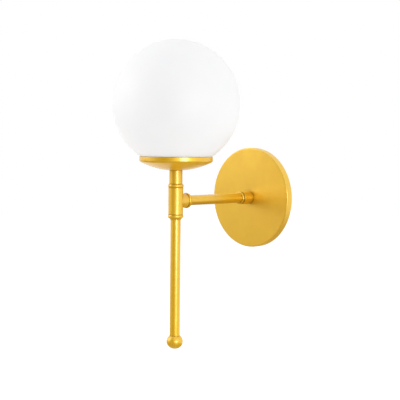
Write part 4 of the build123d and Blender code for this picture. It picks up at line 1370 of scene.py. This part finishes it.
# %% [markdown]
# ## Small screws
#
# Two grub screws with hexagon sockets hold the plate. The earth screw is painted green, with a slotted
# round head. All are turned, threaded by the lathe tree, and cut for their driver.

# %% Small screws
SCREW_R, SCREW_PITCH, SCREW_THREAD = 2.0, 0.7, 0.26
GRUB_LOW, GRUB_HIGH, KEY_FLATS, KEY_DEPTH = 54.3, 62.3, 2, 2
EARTH_Z = -22.0


def joined(name, pieces):
    """One object from several of one finish."""
    mesh = bpy.data.meshes.new(name)
    with editing(mesh) as work:
        for piece in pieces:
            work.from_mesh(piece.data)
    for material in pieces[0].data.materials:
        mesh.materials.append(material)
    for piece in pieces:
        bpy.data.objects.remove(piece)
    return link(name, mesh)


def threaded_shank(name, low, high, radius, material, head=(), pitch=SCREW_PITCH, depth=SCREW_THREAD):
    """Screw along its own axis: a shank from low to high, with an optional head outline above."""
    run = thread_run(radius, low + 0.2, high - 0.2, pitch, depth, 0.5)
    outline = eased([(0, low), (radius, low, 0.3), *(head or [(radius, high, 0.3), (0, high)])])
    return turned(name, outline, Matrix(), material, 32, thread=run, sharp=50)


grubs = []
for side in (-1, 1):
    grub = threaded_shank("grub", GRUB_LOW, GRUB_HIGH, SCREW_R, zinc_wall)
    cut_with(grub, prism("key", 6, KEY_FLATS / sqrt(3), 2 * KEY_DEPTH * MM, shifted(GRUB_HIGH)))
    turn_over = Matrix.Rotation(pi * (side < 0), 4, "Y")
    grub.data.transform(Matrix.Translation((0, -SIDE_SCREW_OUT * MM, 0)) @ turn_over)
    grubs.append(grub)
side_screws = crease(joined("grub_screws", grubs), 40)
finish_piece(side_screws, "sconce", ["side_screws"])

earth_head = [(SCREW_R, 2.6), (3.5, 2.6, 0.1), (3.5, 4.8, 0.8), (0, 4.8)]
earth_screw = threaded_shank("green_earth_screw", 0.3, 2.6, SCREW_R, green_paint, earth_head)
cut_with(earth_screw, block("slot", (0, 0, 4.8), (12, 0.8, 1.6)))
soften(earth_screw, 0.06, 1)
earth_screw.data.transform(shifted(EARTH_Z) @ FROM_WALL)
finish_piece(earth_screw, "sconce", ["earth_screw"])

# %% [markdown]
# ## Push-in connector
#
# A small block of pale plastic takes the lamp's two wires on one side and the house wires on the other.
# On its open face are two press-down release buttons, each in its own pocket, with a grip step.

# %% Push-in connector
CONNECTOR_X, CONNECTOR_Z, CONNECTOR_SIZE, CONNECTOR_OUT = 20.5, 23.0, (16.0, 6.6, 13.0), 4.5
CONNECTOR_FACE, ENTRY_SPACING, WIRE_OUT = 1.2, 5.5, 3
ENTRY_R, MOUTH_R, ENTRY_DEPTH, MOUTH_DEPTH = 0.95, 1.3, 3, 0.55
POCKET_SIZE, BUTTON_SIZE = (8.4, 2.2, 4.3), (7.8, 1.0, 3.7)
GRIP_SIZE, LINE_SIZE = (0.25, 0.3, 5), (0.35, 0.5, 11.0)

connector = block("push_in_block", (CONNECTOR_X, -CONNECTOR_OUT, CONNECTOR_Z), CONNECTOR_SIZE)
connector.data.materials.append(connector_plastic)
soften(connector, 0.7, 3)
buttons = []
for side in (-1, 1):
    z = CONNECTOR_Z + side * ENTRY_SPACING / 2
    cut_with(connector, block("pocket", (CONNECTOR_X + 1.0, -CONNECTOR_FACE, z), POCKET_SIZE))
    for end in (-1, 1):
        x = CONNECTOR_X + end * CONNECTOR_SIZE[0] / 2
        for name, deep, radius in (("entry", ENTRY_DEPTH, ENTRY_R), ("mouth", MOUTH_DEPTH, MOUTH_R)):
            cut_with(connector, rod(name, (x - deep, -WIRE_OUT, z), (x + deep, -WIRE_OUT, z), radius))
    button = block("button", (CONNECTOR_X + 1.0, -CONNECTOR_FACE - 0.75, z), BUTTON_SIZE)
    button.data.materials.append(button_plastic)
    for step in range(3):
        x = CONNECTOR_X + 3.2 + 0.55 * step
        cut_with(button, block("grip", (x, -CONNECTOR_FACE - 0.2, z), GRIP_SIZE))
    buttons.append(soften(button, 0.12))
for x in (CONNECTOR_X - 5.6, CONNECTOR_X + 6.6):
    cut_with(connector, block("line", (x, -CONNECTOR_FACE, CONNECTOR_Z), LINE_SIZE))
soften(connector, 0.1, 1)
connector.data.materials.clear()
connector.data.materials.append(connector_plastic)
finish_piece(connector, "sconce", ["wire_connector"])
release = crease(joined("release_buttons", buttons), 40)
finish_piece(release, "sconce", ["wire_connector"])
print("connector faces:", len(connector.data.polygons))

# %% [markdown]
# ## Insulated wires
#
# A wire is a round section carried along a route of straight runs and bends, so a tree makes it: the
# route's mesh becomes a curve, each corner is rounded by its own bend, and a circle is swept along it.
# The circle also carries a wave that rises and falls twice round the wire, for the earth wire's stripes.

# %% Wire tree
FILLET_STEPS, WIRE_SIDES, WIRE_R = 10, 20, 0.9
wire_tree, given, ends = new_tree("Wire along a route", {"Radius": "Float", "Material": "Material"})
line = add(wire_tree, "GeometryNodeMeshToCurve", Mesh=given["Geometry"])
bent = add(wire_tree, "GeometryNodeFilletCurve", mode="POLY", Curve=line.outputs[0], Count=FILLET_STEPS)
connect(wire_tree, bent, Radius=named_number(wire_tree, "bend"))
circle = add(wire_tree, "GeometryNodeCurvePrimitiveCircle", mode="RADIUS", Resolution=WIRE_SIDES)
connect(wire_tree, circle, Radius=given["Radius"])
share = add(wire_tree, "GeometryNodeSplineParameter").outputs["Factor"]
stripes = maths(wire_tree, "COSINE", maths(wire_tree, "MULTIPLY", share, 4 * pi))
marked = add(wire_tree, "GeometryNodeStoreNamedAttribute", data_type="FLOAT", domain="POINT")
connect(wire_tree, marked, Geometry=circle.outputs[0], Name="around", Value=stripes)
swept = add(wire_tree, "GeometryNodeCurveToMesh", Curve=bent.outputs[0], Fill_Caps=True)
connect(wire_tree, swept, Profile_Curve=marked.outputs[0])
finish_tree(wire_tree, swept.outputs[0], radians(50), given, ends)
print("wire tree nodes:", len(wire_tree.nodes))

# %% Wires
TERMINAL_X, TERMINAL_Z = 6.5, 56.6
EARTH_OUT, EARTH_OUT_LOW = 6.4, 3.4


def wire(name, points, bends, material, node):
    """Insulated wire through points in millimetres, with a bend radius for each inner point."""
    line = chain(name, [Vector(p) * MM for p in points], bend=[0, *(b * MM for b in bends), 0])
    piece = run_tree(line, wire_tree, {"Radius": WIRE_R * MM}, material)
    outward(piece.data, WELD)
    print(f"{name}: {len(piece.data.polygons)} faces")
    finish_piece(piece, "sconce", [node])


for name, kind, side, run_x, end_z, skin in (
    ("brown_wire", "live", 1, 1.6, 20.25, live_skin),
    ("blue_wire", "neutral", -1, -1.6, 25.75, neutral_skin),
):
    route = [
        (side * TERMINAL_X, -REACH, TERMINAL_Z),
        (side * TERMINAL_X, -REACH, 51.98),
        (run_x, -REACH, 48.22),
        (run_x, -REACH, 0),
        (run_x, -WIRE_OUT, 0),
        (run_x, -WIRE_OUT, end_z),
        (15.5, -WIRE_OUT, end_z),
    ]
    wire(name, route, [3, 3, 10, 2.6, 5], skin, kind + "_wire")
earth_route = [
    (-12, -EARTH_OUT, 0),
    (-24, -EARTH_OUT, 0),
    (-24, -EARTH_OUT_LOW, EARTH_Z),
    (-9.5, -EARTH_OUT_LOW, EARTH_Z),
]
wire("striped_wire", earth_route, [8, 8], earth_skin, "earth_lead")

# %% [markdown]
# ## Springs that hold the globe
#
# Three leaf springs of bent steel strip reach up through the globe's mouth and bear on its edge.

# %% Globe springs
springs = from_frame("leaf_springs", "globe_springs", spring_steel, 0.12)
finish_piece(springs, "sconce", ["globe_springs"])
print("spring faces:", len(springs.data.polygons))

# %% [markdown]
# ## Lampholder
#
# A moulded base and sleeve, a ceramic core, a threaded brass shell for the bulb, and a centre contact.
# The base has a band of grip flutes. The shell is thin sheet rolled to the bulb's round
# thread, so its thread shows on both faces: the lathe's thread applies to two radii at once.

# %% Lampholder base and sleeve
HOLDER_R, SLEEVE_INNER_R, HOLDER_Z, SLEEVE_Z, HOLDER_TOP = 14, 12.5, 41, 53, 85
CORE_Z, CORE_TOP = 58.6, 79.6

base_outline = eased(
    [
        (5.1, HOLDER_Z, 0.1), (HOLDER_R, HOLDER_Z, 1.0), (HOLDER_R, SLEEVE_Z, 0.25), (12.45, SLEEVE_Z),
        (12.45, CORE_Z, 0.3), (10.85, CORE_Z, 0.2), (10.85, 43.6, 0.4), (7.25, 43.6, 0.3),
        (7.25, 47.2, 0.3), (5.1, 47.2, 0.1),
    ]
)
grip = {"radius": HOLDER_R, "low": 43.5, "high": 51.5, "fade": 1.0, "spacing": 0.5}
grip = {**grip, "count": 40, "depth": 0.45}
holder_base = turned("moulded_base", base_outline, UPRIGHT, holder_plastic, 240, flute=grip, sharp=45)
finish_piece(holder_base, "sconce", ["holder_base"])

sleeve_outline = eased(
    [
        (SLEEVE_INNER_R, SLEEVE_Z, 0.2), (HOLDER_R, SLEEVE_Z, 0.25), (HOLDER_R, 55.6, 0.1),
        (13.7, 55.9, 0.1), (13.7, 56.5, 0.1), (HOLDER_R, 56.8, 0.1), (HOLDER_R, HOLDER_TOP, 0.6),
        (SLEEVE_INNER_R, HOLDER_TOP, 0.35),
    ]
)
holder_sleeve = turned("holder_sleeve", sleeve_outline, UPRIGHT, holder_plastic, 128)
finish_piece(holder_sleeve, "sconce", ["holder_shell"])

# %% Ceramic core and terminals
core_outline = eased(
    [
        (0, CORE_Z), (12.2, CORE_Z, 0.4), (12.2, 64.6, 0.5), (10.2, 64.6, 0.6), (10.2, CORE_TOP, 0.7),
        (7.6, CORE_TOP, 0.4), (7.6, 59.6, 0.3), (0, 59.6),
    ]
)
core = turned("ceramic_core", core_outline, UPRIGHT, ceramic)
clamp_screws = []
for side in (-1, 1):
    x = side * TERMINAL_X
    cut_with(core, rod("rivet_hole", (x, -REACH, 57), (x, -REACH, 61), 1.05, 24))
    screw = threaded_shank("clamp_screw", -1.2, 1.2, 1.3, spring_steel, pitch=0.5, depth=0.16)
    cut_with(screw, block("slot", (0, 0, 1.2), (8, 0.5, 1.0)))
    screw.data.transform(Matrix.Translation((x * MM, (-REACH - 2.2) * MM, 55.1 * MM)) @ FROM_WALL)
    clamp_screws.append(screw)
finish_piece(crease(core), "sconce", ["holder_core"])
terminals = from_frame("terminal_blocks", "holder_terminals", raw_brass_upright, 0.18)
finish_piece(terminals, "sconce", ["holder_terminals"])
terminal_screws = crease(joined("clamp_screws", clamp_screws), 40)
finish_piece(terminal_screws, "sconce", ["terminal_screws"])

# %% Threaded shell and contact
BULB_PITCH, BULB_ROWS = 2.822, 14
SHELL_OUT_R, SHELL_IN_R, SHELL_LOW, SHELL_THREAD = 7.55, 7.2, 64.1, 0.38
LEG_LOW, FOOT_HIGH, FOOT_R, LEG_SWING = 59.6, 60.0, 7.37, 0.33

shell_run = thread_run(
    (SHELL_OUT_R, SHELL_IN_R), SHELL_LOW + 0.6, CORE_TOP - 0.6, BULB_PITCH, SHELL_THREAD, 1.6, BULB_ROWS
)
shell_corners = [
    (SHELL_IN_R, SHELL_LOW, 0.1), (SHELL_OUT_R, SHELL_LOW, 0.1),
    (SHELL_OUT_R, CORE_TOP, 0.12), (SHELL_IN_R, CORE_TOP, 0.12),
]
shell_outline = eased(shell_corners, 3)
shell = turned("threaded_shell", shell_outline, UPRIGHT, raw_brass_upright, 72, thread=shell_run, sharp=60)


def lifted_plate(name, outline, low, high, place, material):
    """Flat plate or bent leg: a closed outline lifted from one height to another."""
    mesh = bpy.data.meshes.new(name)
    with editing(mesh) as work:
        face = work.faces.new([work.verts.new((x * MM, y * MM, low * MM)) for x, y in outline])
        made = bmesh.ops.extrude_face_region(work, geom=[face])["geom"]
        top = [item for item in made if isinstance(item, bmesh.types.BMVert)]
        bmesh.ops.translate(work, verts=top, vec=(0, 0, (high - low) * MM))
        bmesh.ops.recalc_face_normals(work, faces=work.faces)
    mesh.transform(place)
    mesh.materials.append(material)
    return soften(link(name, mesh), 0.06, 1)


def bow(radius, start, end):
    """Part of the shell's round, seen from above."""
    return arc(0, 0, radius, start, end, 8)


first, last = pi - LEG_SWING, pi + LEG_SWING
leg_shape = [*bow(SHELL_OUT_R, first, last), *bow(SHELL_IN_R, last, first)]
foot_shape = [*bow(FOOT_R, first, last), (-4.5, -2.4), (-4.5, 2.4)]
leg = lifted_plate("leg", leg_shape, LEG_LOW, SHELL_LOW + 0.4, UPRIGHT, raw_brass_upright)
foot = lifted_plate("foot", foot_shape, LEG_LOW, FOOT_HIGH, UPRIGHT, raw_brass_upright)
screw_shell = crease(joined("threaded_shell_with_leg", [shell, leg, foot]), 50)
finish_piece(screw_shell, "sconce", ["screw_shell"])
contact = from_frame("contact_tongue", "centre_contact", raw_brass_upright, 0.08)
finish_piece(contact, "sconce", ["centre_contact"])
print("shell faces:", len(screw_shell.data.polygons))

# %% [markdown]
# ## Bulb
#
# A clear globe bulb, unlit, with four yellow filament sticks on a glass stem. Its cap has the same round
# thread, with the same pitch and the same start, so the two threads stay in step as the bulb screws out.

# %% Bulb glass and cap
BULB_CENTRE, BULB_R, BULB_NECK_R, BULB_WALL = 116.8, 22.5, 6.2, 0.8
BULB_LOW, NECK_FOOT = 84.0, 80.0
CAP_R, CAP_INNER_R, CAP_THREAD = 6.9, 6.6, 0.42


def bulb_side(inset):
    """Glass from the cap upwards, moved inwards by inset."""
    rise = BULB_CENTRE - BULB_LOW
    hollow_r = (BULB_NECK_R**2 + rise**2 - BULB_R**2) / (2 * (BULB_R - BULB_NECK_R))
    tangent = atan2(rise, BULB_NECK_R + hollow_r)
    hollow = arc(BULB_NECK_R + hollow_r, BULB_LOW, hollow_r + inset, pi, pi - tangent, 20)
    ball = arc(0, BULB_CENTRE, BULB_R - inset, -tangent, pi / 2, 56)
    ball[-1] = (0.0, ball[-1][1])
    return [(BULB_NECK_R - inset, NECK_FOOT), *hollow, *ball[1:]]


glass_outline = [*bulb_side(0), *reversed(bulb_side(BULB_WALL))]
bulb_glass = turned("clear_bulb", glass_outline, UPRIGHT, clear_glass, sharp=70)
finish_piece(bulb_glass, "bulb", ["bulb_glass"])

cap_run = thread_run((CAP_R, CAP_INNER_R), 67.4, 79.6, BULB_PITCH, CAP_THREAD, 1.4, BULB_ROWS)
cap_outline = [
    (5.55, 66.0), (6.1, 66.0), (CAP_R, 67.2), (CAP_R, 83.7), (6.82, 83.92), (CAP_INNER_R, BULB_LOW),
    (6.25, BULB_LOW), (6.25, NECK_FOOT), (CAP_INNER_R, NECK_FOOT), (CAP_INNER_R, 67.2), (5.55, 66.3),
]
bulb_cap = turned("threaded_cap", cap_outline, UPRIGHT, nickel, 72, thread=cap_run, sharp=50)
finish_piece(bulb_cap, "bulb", ["bulb_cap"])

# %% Bulb foot and stem
TIP_R, TIP_Z = 2.6, 62.5

foot_outline = eased([(0, TIP_Z), (3.4, TIP_Z, 0.3), (6.0, 66, 0.15), (5.5, 66), (5.5, 67), (0, 67)])
foot_glass = turned("black_foot", foot_outline, UPRIGHT, black_glass, 64)
finish_piece(foot_glass, "bulb", ["bulb_insulator"])
tip_outline = [*arc(0, 63.9, TIP_R, -pi / 2, -0.56, 10), (TIP_R, TIP_Z), (0, TIP_Z)]
finish_piece(turned("solder_tip", tip_outline, UPRIGHT, nickel, 48), "bulb_foot", ["bulb_tip"])
stem_corners = [
    (0, 80.05), (5.35, 80.05, 0.3), (5.35, 81.25, 0.5), (2.0, 88.05, 2.5), (2.0, 106.55, 0.8), (0, 108.05)
]
stem = turned("glass_stem", eased(stem_corners, 6), UPRIGHT, clear_glass, 48)
finish_piece(stem, "bulb", ["bulb_stem"])

# %% Filaments
FILAMENTS, FILAMENT_LOW, FILAMENT_HIGH, FILAMENT_OUT, FILAMENT_FIRST = 4, 105.8, 127.8, 6.5, radians(45)
END_CAP = 1.4

copies, given, ends = new_tree(
    "Copies round the upright", {"Count": "Int", "Out": "Float", "First": "Float", "Material": "Material"}
)
index = add(copies, "GeometryNodeInputIndex").outputs[0]
share = maths(copies, "DIVIDE", index, given["Count"])
turn = maths(copies, "MULTIPLY_ADD", share, 2 * pi, given["First"])
points = add(copies, "GeometryNodePoints", Count=given["Count"], Radius=0.001)
connect(copies, points, Position=on_circle(copies, given["Out"], turn))
turned_to = add(copies, "ShaderNodeCombineXYZ", Z=turn)
placed = add(copies, "GeometryNodeInstanceOnPoints", Points=points.outputs[0], Instance=given["Geometry"])
connect(copies, placed, Rotation=turned_to.outputs[0])
finish_tree(copies, placed.outputs[0], radians(50), given, ends)


def stick(name, radius, low, high, edge, material):
    """Short round stick on its own axis."""
    outline = eased([(0, low), (radius, low, edge), (radius, high, edge), (0, high)], 3)
    return turned(name, outline, Matrix(), material, 20)


def around_stem(name, piece, material):
    """Copies of a piece round the bulb's stem, as one object."""
    inputs = {"Count": FILAMENTS, "Out": FILAMENT_OUT * MM, "First": FILAMENT_FIRST}
    ring = run_tree(piece, copies, inputs, material)
    ring.name = ring.data.name = name
    ring.data.transform(UPRIGHT)
    finish_piece(ring, "bulb", ["bulb_filaments"])


glowing = stick("filament", 0.8, FILAMENT_LOW + 1, FILAMENT_HIGH - 1, 0.2, phosphor)
around_stem("filament_sticks", glowing, phosphor)
spans = ((FILAMENT_LOW, FILAMENT_LOW + END_CAP), (FILAMENT_HIGH - END_CAP, FILAMENT_HIGH))
end_caps = [stick("end_cap", 0.9, low, high, 0.15, nickel) for low, high in spans]
around_stem("filament_ends", joined("ends", end_caps), nickel)
supports = from_frame("filament_wires", "bulb_supports", nickel, 0)
finish_piece(supports, "bulb", ["bulb_supports"])
